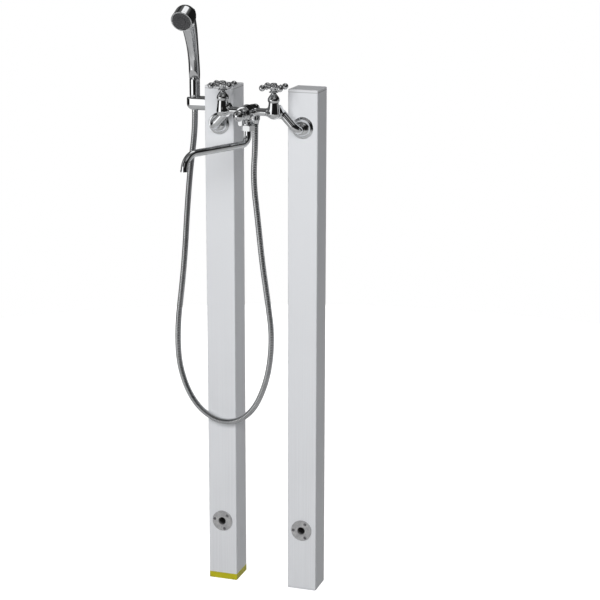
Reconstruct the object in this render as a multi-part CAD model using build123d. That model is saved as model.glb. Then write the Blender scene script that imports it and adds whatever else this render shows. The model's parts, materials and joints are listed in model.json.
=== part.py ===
from build123d import *
import math
import os

# Garden standpipe: two square posts, a two-handle mixer with a swinging spout, and a hand shower.
# X runs along the pair of posts, Y points to the back, Z is up.
# The origin is on the ground, midway between the posts. All sizes are in millimetres.

# Gaps and overruns
CUT_OVER = 2.0
RUNNING_GAP = 0.05
SOCKET_GAP = 0.05
SLIDE_GAP = 0.2
SEAT_GAP = 0.1
FACE_GAP = 0.3

# Posts
POST_SPACING = 200.0
POST_WIDTH = 70.0
POST_DEPTH = 70.0
POST_HEIGHT = 1200.0
POST_WALL = 2.5
POST_CORNER_RADIUS = 3.0
POST_INNER_RADIUS = 1.0
CAP_HEIGHT = 6.3
CAP_EDGE_RADIUS = 2.4
PLUG_HEIGHT = 4.5
SPIGOT_DEPTH = 14.0
SPIGOT_WALL = 2.0
DRAIN_RADIUS = 6.0
BAND_HEIGHT = 15.0
BAND_THICKNESS = 0.5

# Lower inlet elbows with a screwed flange
INLET_HEIGHT = 150.0
FLANGE_RADIUS = 25.0
FLANGE_THICKNESS = 4.0
FLANGE_EDGE = 1.0
ELBOW_RADIUS = 13.0
ELBOW_BRANCH_RADIUS = 11.0
ELBOW_BRANCH_LENGTH = 32.0
THREAD_RADIUS = 9.3
THREAD_DEPTH = 15.0
ELBOW_BORE = 7.0
SOCKET_DEPTH = 12.0
PIPE_RADIUS = 7.94
PIPE_WALL = 1.0
FLANGE_SCREW_CIRCLE = 39.0
FLANGE_SCREW_COUNT = 3
FLANGE_SCREW_TURN = {"left": 48.0, "right": 60.0}
SCREW_RADIUS = 2.0
SCREW_HEAD_RADIUS = 3.9
SCREW_HEAD_HEIGHT = 2.2
SCREW_LENGTH = 12.0
SCREW_SLOT_WIDTH = 1.2
SCREW_SLOT_DEPTH = 0.9

# Upper outlet elbows, clamped through the post wall
OUTLET_DROP = 86.0
COLLAR_RADIUS = 17.0
COLLAR_THICKNESS = 3.0
LOCK_NUT_FLATS = 30.0
LOCK_NUT_THICKNESS = 3.0
NIPPLE_LENGTH = 4.5
LEG_THREAD_RADIUS = 10.3
LEG_THREAD_DEPTH = 15.0

# Escutcheons: outline shares of their radius and height, from the rim to the mouth
ESCUTCHEON_RADIUS = 25.0
ESCUTCHEON_HEIGHT = 16.2
ESCUTCHEON_WALL = 1.0
ESCUTCHEON_RADIUS_SHARES = (1.0, 0.94, 0.82, 0.75, 0.66, 0.5)
ESCUTCHEON_HEIGHT_SHARES = (0.06, 0.14, 0.2, 0.37, 0.68, 0.93)
ESCUTCHEON_GAP = 0.25

# Cranked legs, union nuts and washers
LEG_RADIUS = 9.5
LEG_BORE = 6.5
LEG_BEND_RADIUS = 14.0
LEG_STANDOFF = 40.0
LIP_RADIUS = 12.4
LIP_THICKNESS = 3.0
WASHER_THICKNESS = 2.0
WASHER_BORE = 6.5
UNION_FLATS = 30.0
UNION_LENGTH = 12.3
UNION_THREAD_RADIUS = 12.8
UNION_THREAD_LENGTH = 4.3
UNION_SHOULDER = 3.0
NUT_CHAMFER = 1.2

# Mixer body
MIXER_RISE = 43.0
MIXER_STANDOFF = 81.5
VALVE_SPACING = 120.0
VALVE_DROP = 13.7
BELLY_RADIUS = 13.9
BELLY_SINK = 1.5
VALVE_FOOT_SHARE = 0.62
RIM_RISE = 24.0
RIM_RADIUS = 11.2
CHAMBER_RADIUS = 8.2
CHAMBER_THREAD_RADIUS = 9.4
CHAMBER_THREAD_DEPTH = 10.0
SEAT_RISE = 2.5
SEAT_LIP = 1.5
PORT_RADIUS = 5.0
SUMP_RADIUS = 7.0
SUMP_DEPTH = 7.5
SUMP_ROOF = 2.5
ARM_RADIUS = 8.5
ARM_FLARE_RADIUS = 11.5
ARM_FLARE_START = 34.0
ARM_RISE = 1.5
DUCT_RADIUS = 3.5
DUCT_RISE = 4.5
BARREL_RADIUS = 17.0
BARREL_BACK_RADIUS = 13.0
BARREL_FRONT_REACH = 33.5
BARREL_BELLY_REACH = 8.0
PLUG_BORE = 9.0
PLUG_CHAMBER_BACK = 14.0
NECK_DROP = 37.0
NECK_TOP_RADIUS = 10.5
NECK_WAIST_RADIUS = 8.6
NECK_WAIST_DROP = 17.0
NECK_SHOULDER_RADIUS = 13.5
NECK_SHOULDER_DROP = 27.0
NECK_THREAD_DROP = 28.0
NECK_THREAD_RADIUS = 12.0
NECK_BORE = 9.3
NECK_SOCKET_DEPTH = 14.0
SPOUT_PORT_RADIUS = 6.0
SHOWER_PORT_RADIUS = 4.5

# Valve cap nuts, packings, spindles and jumpers, measured from the rim of the valve body
CAP_NUT_HEIGHT = 20.0
CAP_NUT_BULGE_RADIUS = 13.2
CAP_NUT_BULGE_RISE = 7.5
CAP_NUT_SHOULDER_RADIUS = 9.8
CAP_NUT_SHOULDER_RISE = 14.0
CAP_NUT_NECK_RADIUS = 5.6
CAP_NUT_SKIRT_BORE = 7.7
CAP_NUT_SKIRT_DEPTH = 4.0
SPINDLE_THREAD_RADIUS = 5.5
SPINDLE_THREAD_LENGTH = 19.0
SPINDLE_RADIUS = 4.0
SPINDLE_TOP_RISE = 33.0
PACKING_RADIUS = 7.0
PACKING_HEIGHT = 4.5
PACKING_RISE = 9.0
JUMPER_RADIUS = 7.5
JUMPER_THICKNESS = 2.4
JUMPER_STEM_RADIUS = 2.5
JUMPER_STEM_LENGTH = 13.0
SEAT_WASHER_RADIUS = 6.8
SEAT_WASHER_THICKNESS = 3.0

# Cross handles
HANDLE_ARM_RISE = 33.5
HANDLE_ARM_COUNT = 4
HANDLE_ARM_TURN = 48.0
HANDLE_BALL_CIRCLE = 57.5
HANDLE_BALL_RADIUS = 7.1
HANDLE_BEAD_CIRCLE = 36.0
HANDLE_BEAD_RADIUS = 4.9
HANDLE_BEAD_LENGTH_SHARE = 0.7
HANDLE_NECK_RADIUS = 3.1
HUB_RADIUS = 9.5
HUB_TOP_RISE = 40.0
HUB_WAIST_RADIUS = 7.0
HUB_WAIST_RISE = 28.0
HUB_SKIRT_RADIUS = 10.5
HUB_SKIRT_RISE = 22.0
HUB_RECESS_RADIUS = 6.4
HUB_RECESS_DEPTH = 5.0
HANDLE_CAP_RADIUS = 7.4
HANDLE_CAP_DOME = 2.2
HANDLE_CAP_RIM = 0.8
HANDLE_SCREW_RADIUS = 2.0
HANDLE_SCREW_LENGTH = 12.0
HANDLE_SCREW_HEAD_RADIUS = 4.0
HANDLE_SCREW_HEAD_HEIGHT = 2.4

# Diverter
DIVERTER_NUT_RADIUS = 13.6
DIVERTER_NUT_LENGTH = 13.0
DIVERTER_NUT_FRONT_RADIUS = 9.6
DIVERTER_NUT_COLLAR = 5.0
DIVERTER_STEM_RADIUS = 4.0
DIVERTER_PLUG_LENGTH = 46.0
DIVERTER_GROOVE_RADIUS = 6.0
DIVERTER_GROOVE_LENGTH = 15.0
DIVERTER_PASSAGE_RADIUS = 3.0
KNOB_RADIUS = 12.6
KNOB_STANDOFF = 59.5
KNOB_COLLAR_RADIUS = 8.6
KNOB_CROWN = 8.0
POINTER_THICKNESS = 5.0
POINTER_DROP = 24.0
POINTER_TIP_RADIUS = 4.5

# Spout
SPOUT_RADIUS = 8.0
SPOUT_BORE = 6.8
SPOUT_DROP = 70.8
SPOUT_REACH = 200.0
SPOUT_TURN = 23.3
SPOUT_ROOT_BEND = 22.0
SPOUT_TIP_BEND = 33.0
SPOUT_TIP_DROP = 35.7
SPOUT_LIP_RADIUS = 8.75
SPOUT_LIP_HEIGHT = 3.0
SPOUT_SLEEVE_LENGTH = 12.0
SPOUT_GROOVE_LENGTH = 3.5
SPOUT_GROOVE_DROP = 4.0
SPOUT_GROOVE_RADIUS = 8.2
SPOUT_COLLAR_RADIUS = 10.6
SPOUT_COLLAR_THICKNESS = 1.6
SPOUT_NUT_FLATS = 27.0
SPOUT_NUT_HEIGHT = 12.5
SPOUT_NUT_FLOOR = 2.5
SPOUT_NUT_ENGAGEMENT = 8.0
SPOUT_NUT_ROUND = 3.0

# Shower elbow, hose and its nuts
SHOWER_STANDOFF = 35.0
SHOWER_ELBOW_RADIUS = 10.0
SHOWER_ELBOW_TOP_RISE = 12.0
SHOWER_ELBOW_DROP = 10.0
SHOWER_ELBOW_BORE = 5.0
SHOWER_THREAD_RADIUS = 8.4
SHOWER_THREAD_LENGTH = 9.0
HOSE_NUT_RADIUS = 10.6
HOSE_NUT_TAIL_LENGTH = 10.0
HOSE_NUT_TAIL_LAND = 2.5
HOSE_NUT_FLUTE_COUNT = 12
HOSE_NUT_FLUTE_RADIUS = 1.4
HOSE_TAIL_RADIUS = 7.4
HOSE_RADIUS = 6.75
HOSE_BORE = 4.5
HOSE_WASHER_THICKNESS = 2.0
CONE_NUT_RADIUS = 12.0
CONE_NUT_END_RADIUS = 9.0
CONE_NUT_HEIGHT = 70.0
CONE_NUT_CONE_HEIGHT = 34.0
CONE_NUT_GROOVE = 0.5
CONE_NUT_THREAD_DEPTH = 14.0

# Hose route, from the elbow under the mixer to the hand shower, with heights from the mixer's own
HOSE_POINTS = (
    (0.0, -70.0, -35.0),
    (0.0, -70.0, -81.0),
    (-7.0, -66.5, -160.0),
    (4.0, -66.0, -257.0),
    (13.5, -65.5, -352.0),
    (26.5, -64.5, -442.0),
    (38.0, -64.0, -535.0),
    (24.5, -63.0, -638.0),
    (-17.0, -62.0, -725.5),
    (-86.0, -61.5, -754.0),
    (-157.0, -61.0, -715.0),
    (-196.5, -60.5, -627.0),
    (-200.0, -59.0, -524.0),
    (-191.0, -49.5, -432.0),
    (-186.0, -39.0, -346.0),
    (-184.0, -28.0, -252.0),
    (-179.0, -16.5, -151.0),
    (-172.5, 0.0, -66.0),
    (-172.5, 0.0, -19.0),
)
HOSE_RUN_SHARE = 0.45

# Hanger
HANGER_REACH = 37.5
HANGER_HEIGHT = 30.0
HANGER_RISE = 10.0
HANGER_RADIUS = 18.5
HANGER_BOTTOM_ROUND = 14.5
HANGER_TOP_ROUND = 3.5
HANGER_SLOT_WIDTH = 15.0
HANGER_SCREW_SPACING = 14.0
HANGER_SCREW_RADIUS = 2.5
HANGER_SCREW_LENGTH = 12.0
HANGER_SCREW_HEAD_RADIUS = 4.2
HANGER_SCREW_HEAD_HEIGHT = 3.0

# Hand shower
GRIP_BEND_RADIUS = 282.0
GRIP_HEIGHTS = (0.0, 34.0, 68.0, 91.0, 112.0, 130.0, 148.0)
GRIP_RADII = (12.4, 12.8, 13.3, 14.8, 16.6, 16.8, 12.0)
GRIP_BORE = 7.0
GRIP_BORE_DEPTH = 12.0
HEAD_TILT = 27.0
HEAD_FACE_REACH = 76.0
HEAD_FACE_RISE = 137.0
HEAD_RADIUS = 24.2
HEAD_RIM_RADIUS = 25.0
HEAD_RIM_LENGTH = 6.0
HEAD_BARREL_LENGTH = 30.0
HEAD_LENGTH = 49.0
HEAD_DOME_RADIUS_SHARE = 0.86
HEAD_DOME_LENGTH_SHARE = 0.53
HEAD_WALL = 2.0
HEAD_POCKET_DEPTH = 12.0
SPRAY_RING_RADIUS = 23.3
SPRAY_RING_BORE = 21.6
SPRAY_RING_DEPTH = 4.0
SPRAY_PLATE_THICKNESS = 3.0
SPRAY_PLATE_RECESS = 0.8
SPRAY_CROWN_RADIUS = 10.0
SPRAY_CROWN_HEIGHT = 0.8
SPRAY_HOLE_RADIUS = 0.7
SPRAY_HOLE_CIRCLES = (7.0, 15.0, 26.0, 36.0)
SPRAY_HOLE_COUNTS = (4, 8, 14, 20)

# Places worked out from the sizes above
SIDES = {"left": -1, "right": 1}
FRONT = -POST_DEPTH / 2
POST_X = POST_SPACING / 2
VALVE_X = VALVE_SPACING / 2
OUTLET_HEIGHT = POST_HEIGHT - OUTLET_DROP
MIXER_HEIGHT = OUTLET_HEIGHT + MIXER_RISE
MIXER_Y = FRONT - MIXER_STANDOFF
RIM_Z = MIXER_HEIGHT + RIM_RISE
SEAT_Z = MIXER_HEIGHT + SEAT_RISE
NECK_Z = MIXER_HEIGHT - NECK_DROP
BARREL_FRONT_Y = MIXER_Y - BARREL_FRONT_REACH
UNION_FRONT_Y = MIXER_Y + BELLY_RADIUS + FACE_GAP
BOSS_END_Y = UNION_FRONT_Y + UNION_THREAD_LENGTH
LIP_FRONT_Y = BOSS_END_Y + WASHER_THICKNESS
LEG_CORNER_Y = FRONT - LEG_STANDOFF
SHOWER_Y = FRONT - SHOWER_STANDOFF
BARREL_BACK_Y = SHOWER_Y - HOSE_NUT_RADIUS - FACE_GAP
HOSE_NUT_TOP_Z = MIXER_HEIGHT - SHOWER_ELBOW_DROP - FACE_GAP
HANGER_X = -POST_X - POST_WIDTH / 2 - HANGER_REACH
HANGER_TOP = MIXER_HEIGHT + HANGER_RISE

# The hose route follows the places of its two ends
STRETCH_X = HANGER_X / HOSE_POINTS[-1][0]
STRETCH_Y = SHOWER_Y / HOSE_POINTS[0][1]
HOSE_ROUTE = [(STRETCH_X * x, STRETCH_Y * y, MIXER_HEIGHT + z) for x, y, z in HOSE_POINTS]
HOSE_TOP_Z = HOSE_ROUTE[0][2]
CONE_BOTTOM_Z = HOSE_ROUTE[-1][2]
GRIP_Z = CONE_BOTTOM_Z + CONE_NUT_HEIGHT


def upright(radius, low, high, x=0.0, y=0.0):
    """A vertical cylinder between two heights."""
    return Pos(x, y, low) * Cylinder(radius, high - low, align=(Align.CENTER, Align.CENTER, Align.MIN))


def level(radius, front, back, x, z):
    """A cylinder along Y between a front and a back place."""
    rod = Cylinder(radius, back - front, align=(Align.CENTER, Align.CENTER, Align.MIN))
    return Pos(x, back, z) * Rot(X=90) * rod


def sideways(radius, start, end, y, z):
    """A cylinder along X between two places."""
    rod = Cylinder(radius, end - start, align=(Align.CENTER, Align.CENTER, Align.MIN))
    return Pos(start, y, z) * Rot(Y=90) * rod


def turned(*edges):
    """A body turned about Z from a closed outline of edges given as (radius, height)."""
    return revolve(Plane.XZ * make_face(Curve() + list(edges)), axis=Axis.Z)


def turned_points(*points):
    """A body turned about Z from the corners of its outline."""
    return turned(Polyline(*points, close=True))


def facing(x, y, z):
    """Turns a body made about Z so that its top points to the front, and puts it in place."""
    return Pos(x, y, z) * Rot(X=90)


def hexagon(flats, height, chamfer, round_ends=True):
    """A hexagonal bar standing on its lower end, with its corners turned down at the ends."""
    bar = extrude(RegularPolygon(flats / 2, 6, major_radius=False), height)
    corner = flats / 2 / math.cos(math.radians(30))
    low = chamfer if round_ends else 0
    blank = turned_points(
        (0, 0),
        (corner - low, 0),
        (corner, low),
        (corner, height - chamfer),
        (corner - chamfer, height),
        (0, height),
    )
    return bar & blank


def post_sketch(inset, radius):
    """The post's square outline, moved in by inset."""
    return RectangleRounded(POST_WIDTH - 2 * inset, POST_DEPTH - 2 * inset, radius)


def spigot(height):
    """The hollow tongue of a cap or plug that fits inside the post."""
    outer = post_sketch(POST_WALL + SLIDE_GAP, POST_INNER_RADIUS)
    inner = post_sketch(POST_WALL + SLIDE_GAP + SPIGOT_WALL, POST_INNER_RADIUS)
    return extrude(outer - inner, height)


def screw_places(circle, count, turn):
    """Places of screws on a circle about Z."""
    return PolarLocations(circle / 2, count, start_angle=turn)


def countersunk_screw(radius, length, head_radius, head_height):
    """A countersunk screw, its head's face at zero and its shank running down."""
    screw = turned_points(
        (0, 0), (head_radius, 0), (radius, -head_height), (radius, radius - length), (0, -length)
    )
    slot = Box(2 * head_radius + CUT_OVER, SCREW_SLOT_WIDTH, 2 * SCREW_SLOT_DEPTH)
    return screw - slot


def countersunk_hole(radius, length, head_radius, head_height):
    """The hole that a countersunk screw fills."""
    return turned_points(
        (0, CUT_OVER),
        (head_radius, CUT_OVER),
        (head_radius, 0),
        (radius, -head_height),
        (radius, -length),
        (0, -length),
    )


def make_post(side):
    """One hollow post with its holes for the two elbows and, on the left, for the hanger's screws."""
    x = SIDES[side] * POST_X
    tube = extrude(
        post_sketch(0, POST_CORNER_RADIUS) - post_sketch(POST_WALL, POST_INNER_RADIUS),
        POST_HEIGHT - CAP_HEIGHT - PLUG_HEIGHT,
    )
    tube = Pos(x, 0, PLUG_HEIGHT) * tube
    for height in (INLET_HEIGHT, OUTLET_HEIGHT):
        tube -= level(ELBOW_RADIUS + SLIDE_GAP, FRONT - CUT_OVER, FRONT + POST_WALL + CUT_OVER, x, height)
    inlet_face = facing(x, FRONT, INLET_HEIGHT)
    for place in screw_places(FLANGE_SCREW_CIRCLE, FLANGE_SCREW_COUNT, FLANGE_SCREW_TURN[side]):
        tube -= inlet_face * place * Cylinder(SCREW_RADIUS + SOCKET_GAP, 2 * POST_WALL + CUT_OVER)
    if side == "left":
        for z in hanger_screw_heights():
            tube -= sideways(
                HANGER_SCREW_RADIUS + SOCKET_GAP,
                x - POST_WIDTH / 2 - CUT_OVER,
                x - POST_WIDTH / 2 + POST_WALL + CUT_OVER,
                0,
                z,
            )
    return tube


def make_post_cap(side):
    """The cap that closes the post's top, with rounded upper edges."""
    plate = extrude(post_sketch(0, POST_CORNER_RADIUS), CAP_HEIGHT)
    plate = fillet(plate.edges().group_by(Axis.Z)[-1], CAP_EDGE_RADIUS)
    cap = plate + Pos(0, 0, -SPIGOT_DEPTH) * spigot(SPIGOT_DEPTH)
    return Pos(SIDES[side] * POST_X, 0, POST_HEIGHT - CAP_HEIGHT) * cap


def make_foot_plug(side):
    """The plug under the post, with a drain hole."""
    plate = extrude(post_sketch(0, POST_CORNER_RADIUS), PLUG_HEIGHT)
    plug = plate + Pos(0, 0, PLUG_HEIGHT) * spigot(SPIGOT_DEPTH)
    plug -= upright(DRAIN_RADIUS, -CUT_OVER, PLUG_HEIGHT + CUT_OVER)
    return Pos(SIDES[side] * POST_X, 0, 0) * plug


def make_foot_band():
    """The coloured band round the foot of the left post."""
    outer = post_sketch(-BAND_THICKNESS, POST_CORNER_RADIUS + BAND_THICKNESS)
    band = extrude(outer - post_sketch(0, POST_CORNER_RADIUS), BAND_HEIGHT)
    return Pos(SIDES["left"] * POST_X, 0, 0) * band


def elbow_body(side, height, up, front):
    """The elbow inside a post: a level limb to the front, and a branch up or down for the riser."""
    x = SIDES[side] * POST_X
    end = height + up * ELBOW_BRANCH_LENGTH
    low, high = sorted((height, end))
    body = level(ELBOW_RADIUS, front, 0, x, height) + Pos(x, 0, height) * Sphere(ELBOW_RADIUS)
    return body + upright(ELBOW_BRANCH_RADIUS, low, high, x)


def elbow_ways(side, height, up, front, thread_radius, thread_depth):
    """The threaded mouth, the waterway and the riser's socket of an elbow."""
    x = SIDES[side] * POST_X
    end = height + up * ELBOW_BRANCH_LENGTH
    low, high = sorted((height, end + up * CUT_OVER))
    socket_low, socket_high = sorted((end - up * SOCKET_DEPTH, end + up * CUT_OVER))
    ways = level(thread_radius, front - CUT_OVER, front + thread_depth, x, height)
    ways += level(ELBOW_BORE, front, 0, x, height) + Pos(x, 0, height) * Sphere(ELBOW_BORE)
    ways += upright(ELBOW_BORE, low, high, x)
    return ways + upright(PIPE_RADIUS + SOCKET_GAP, socket_low, socket_high, x)


def make_inlet_elbow(side):
    """The lower elbow, whose round flange is screwed to the front of the post."""
    x = SIDES[side] * POST_X
    front = FRONT - FLANGE_THICKNESS
    flange = turned_points(
        (0, 0),
        (FLANGE_RADIUS, 0),
        (FLANGE_RADIUS, FLANGE_THICKNESS - FLANGE_EDGE),
        (FLANGE_RADIUS - FLANGE_EDGE, FLANGE_THICKNESS),
        (0, FLANGE_THICKNESS),
    )
    for place in screw_places(FLANGE_SCREW_CIRCLE, FLANGE_SCREW_COUNT, FLANGE_SCREW_TURN[side]):
        hole = countersunk_hole(SCREW_RADIUS, SCREW_LENGTH, SCREW_HEAD_RADIUS, SCREW_HEAD_HEIGHT)
        flange -= place * Pos(0, 0, FLANGE_THICKNESS) * hole
    body = elbow_body(side, INLET_HEIGHT, 1, front) + facing(x, FRONT, INLET_HEIGHT) * flange
    return body - elbow_ways(side, INLET_HEIGHT, 1, front, THREAD_RADIUS, THREAD_DEPTH)


def make_inlet_screws(side):
    """The three countersunk screws of a lower flange."""
    face = facing(SIDES[side] * POST_X, FRONT - FLANGE_THICKNESS, INLET_HEIGHT)
    screw = countersunk_screw(SCREW_RADIUS, SCREW_LENGTH, SCREW_HEAD_RADIUS, SCREW_HEAD_HEIGHT)
    places = screw_places(FLANGE_SCREW_CIRCLE, FLANGE_SCREW_COUNT, FLANGE_SCREW_TURN[side])
    return Compound([face * place * screw for place in places])


def make_outlet_elbow(side):
    """The upper elbow, with a collar behind the post wall and a nipple through it."""
    x = SIDES[side] * POST_X
    front = FRONT - NIPPLE_LENGTH
    collar_front = FRONT + POST_WALL
    body = elbow_body(side, OUTLET_HEIGHT, -1, front)
    body += level(COLLAR_RADIUS, collar_front, collar_front + COLLAR_THICKNESS, x, OUTLET_HEIGHT)
    thread = LEG_THREAD_RADIUS + SOCKET_GAP
    return body - elbow_ways(side, OUTLET_HEIGHT, -1, front, thread, LEG_THREAD_DEPTH)


def make_lock_nut(side):
    """The thin nut that clamps an upper elbow to the post's front."""
    nut = hexagon(LOCK_NUT_FLATS, LOCK_NUT_THICKNESS, NUT_CHAMFER / 2)
    nut -= upright(ELBOW_RADIUS + SOCKET_GAP, -CUT_OVER, LOCK_NUT_THICKNESS + CUT_OVER)
    return facing(SIDES[side] * POST_X, FRONT, OUTLET_HEIGHT) * nut


def make_riser(side):
    """The water pipe inside a post, from the lower elbow's socket to the upper one's."""
    x = SIDES[side] * POST_X
    low = INLET_HEIGHT + ELBOW_BRANCH_LENGTH - SOCKET_DEPTH
    high = OUTLET_HEIGHT - ELBOW_BRANCH_LENGTH + SOCKET_DEPTH
    bore = upright(PIPE_RADIUS - PIPE_WALL, low - CUT_OVER, high + CUT_OVER, x)
    return upright(PIPE_RADIUS, low, high, x) - bore


def escutcheon_blank(radius, height):
    """A solid bell with the escutcheon's outline."""
    points = [
        (radius * r, height * h) for r, h in zip(ESCUTCHEON_RADIUS_SHARES, ESCUTCHEON_HEIGHT_SHARES)
    ]
    mouth = (LEG_RADIUS + ESCUTCHEON_GAP, height)
    curve = Spline(*points, mouth)
    rest = Polyline(mouth, (0, height), (0, 0), (radius, 0), points[0])
    return turned(curve, rest)


def make_escutcheon(side):
    """The bell-shaped cover plate where a leg enters the post."""
    shell = escutcheon_blank(ESCUTCHEON_RADIUS, ESCUTCHEON_HEIGHT)
    hollow = escutcheon_blank(ESCUTCHEON_RADIUS - ESCUTCHEON_WALL, ESCUTCHEON_HEIGHT - ESCUTCHEON_WALL)
    shell -= hollow
    shell -= upright(LEG_RADIUS + ESCUTCHEON_GAP, -CUT_OVER, ESCUTCHEON_HEIGHT + CUT_OVER)
    return facing(SIDES[side] * POST_X, FRONT, OUTLET_HEIGHT) * shell


def make_leg(side):
    """The cranked leg that carries the mixer: out of the post, across, and forward to the valve."""
    s = SIDES[side]
    inner_end = FRONT - NIPPLE_LENGTH + LEG_THREAD_DEPTH
    route = FilletPolyline(
        (s * POST_X, inner_end, OUTLET_HEIGHT),
        (s * POST_X, LEG_CORNER_Y, OUTLET_HEIGHT),
        (s * VALVE_X, LEG_CORNER_Y, MIXER_HEIGHT),
        (s * VALVE_X, LIP_FRONT_Y, MIXER_HEIGHT),
        radius=LEG_BEND_RADIUS,
    )
    start = Plane(route @ 0, z_dir=route % 0)
    tube = sweep(start * Circle(LEG_RADIUS), path=route)
    tube += level(LEG_THREAD_RADIUS, FRONT - NIPPLE_LENGTH, inner_end, s * POST_X, OUTLET_HEIGHT)
    tube += level(LIP_RADIUS, LIP_FRONT_Y, LIP_FRONT_Y + LIP_THICKNESS, s * VALVE_X, MIXER_HEIGHT)
    return tube - sweep(start * Circle(LEG_BORE), path=route)


def make_union_nut(side):
    """The hexagonal nut that draws the leg's lip against the valve."""
    nut = hexagon(UNION_FLATS, UNION_LENGTH, NUT_CHAMFER)
    nut -= upright(LEG_RADIUS + ESCUTCHEON_GAP, -CUT_OVER, UNION_LENGTH + CUT_OVER)
    nut -= upright(UNION_THREAD_RADIUS + SOCKET_GAP, UNION_SHOULDER, UNION_LENGTH + CUT_OVER)
    return facing(SIDES[side] * VALVE_X, UNION_FRONT_Y + UNION_LENGTH, MIXER_HEIGHT) * nut


def make_union_washer(side):
    """The flat rubber washer inside a union nut."""
    x = SIDES[side] * VALVE_X
    ring = level(LIP_RADIUS, BOSS_END_Y, LIP_FRONT_Y, x, MIXER_HEIGHT)
    return ring - level(WASHER_BORE, BOSS_END_Y - CUT_OVER, LIP_FRONT_Y + CUT_OVER, x, MIXER_HEIGHT)


def valve_blank():
    """The pear-shaped outside of one valve, about its own axis, measured from the mixer's height."""
    foot = (0, -VALVE_DROP)
    belly = (BELLY_RADIUS, -BELLY_SINK)
    rim = (RIM_RADIUS, RIM_RISE)
    foot_round = Bezier(
        foot,
        (BELLY_RADIUS * VALVE_FOOT_SHARE, -VALVE_DROP),
        (BELLY_RADIUS, -BELLY_SINK - VALVE_DROP * VALVE_FOOT_SHARE),
        belly,
    )
    flank = Bezier(belly, (BELLY_RADIUS, RIM_RISE / 2), (RIM_RADIUS, RIM_RISE / 2), rim)
    return turned(foot_round, flank, Polyline(rim, (0, RIM_RISE), foot))


def arm_blank():
    """The level arm between the valves, slim in the middle and flared towards each valve."""
    middle = (ARM_RADIUS, ARM_FLARE_START)
    end = (ARM_FLARE_RADIUS, VALVE_X - BELLY_RADIUS / 2)
    flare = Bezier(middle, (ARM_RADIUS, (middle[1] + end[1]) / 2), end)
    half = turned(flare, Polyline(end, (0, end[1]), (0, 0), (ARM_RADIUS, 0), middle))
    return Rot(Y=90) * half + Rot(Y=-90) * half


def barrel_blank():
    """The diverter's barrel about its own axis, swelling from the back to the front."""
    front = BARREL_FRONT_REACH
    back = MIXER_Y - BARREL_BACK_Y
    belly = (BARREL_RADIUS, -BARREL_BELLY_REACH)
    swell = Bezier(
        (BARREL_BACK_RADIUS, back),
        (BARREL_BACK_RADIUS, (back - BARREL_BELLY_REACH) / 2),
        (BARREL_RADIUS, (back - BARREL_BELLY_REACH) / 2),
        belly,
    )
    rest = Polyline(belly, (BARREL_RADIUS, front), (0, front), (0, back), (BARREL_BACK_RADIUS, back))
    return turned(swell, rest)


def neck_blank():
    """The neck under the barrel: a waist, a flare and the thread that takes the spout's nut."""
    top = (NECK_TOP_RADIUS, 0)
    waist = (NECK_WAIST_RADIUS, -NECK_WAIST_DROP)
    shoulder = (NECK_SHOULDER_RADIUS, -NECK_SHOULDER_DROP)
    taper = Bezier(top, (NECK_WAIST_RADIUS, -NECK_WAIST_DROP / 2), waist)
    flare = Bezier(waist, (NECK_WAIST_RADIUS, -(NECK_WAIST_DROP + NECK_SHOULDER_DROP) / 2), shoulder)
    rest = Polyline(
        shoulder,
        (NECK_SHOULDER_RADIUS, -NECK_THREAD_DROP),
        (NECK_THREAD_RADIUS, -NECK_THREAD_DROP),
        (NECK_THREAD_RADIUS, -NECK_DROP),
        (0, -NECK_DROP),
        (0, 0),
        top,
    )
    return turned(taper, flare, rest)


def valve_ways(x, s):
    """The chamber, seat and ducts cut into one valve."""
    sump_top = SEAT_Z - SUMP_ROOF - SEAT_LIP
    ways = upright(CHAMBER_RADIUS, SEAT_Z - SEAT_LIP, RIM_Z + CUT_OVER, x, MIXER_Y)
    ways += upright(CHAMBER_THREAD_RADIUS, RIM_Z - CHAMBER_THREAD_DEPTH, RIM_Z + CUT_OVER, x, MIXER_Y)
    ways -= upright(PORT_RADIUS + SEAT_LIP, SEAT_Z - SEAT_LIP - CUT_OVER, SEAT_Z, x, MIXER_Y)
    ways += upright(PORT_RADIUS, sump_top - CUT_OVER, SEAT_Z + CUT_OVER, x, MIXER_Y)
    ways += upright(SUMP_RADIUS, sump_top - SUMP_DEPTH, sump_top, x, MIXER_Y)
    ways += level(DUCT_RADIUS, MIXER_Y, BOSS_END_Y - CUT_OVER, x, sump_top - SUMP_DEPTH + DUCT_RADIUS)
    ways += level(LEG_BORE, UNION_FRONT_Y - CUT_OVER, BOSS_END_Y + CUT_OVER, x, MIXER_HEIGHT)
    near, far = sorted((s * PLUG_BORE / 2, x - s * CHAMBER_RADIUS / 2))
    return ways + sideways(DUCT_RADIUS, near, far, MIXER_Y, MIXER_HEIGHT + DUCT_RISE)


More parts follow.
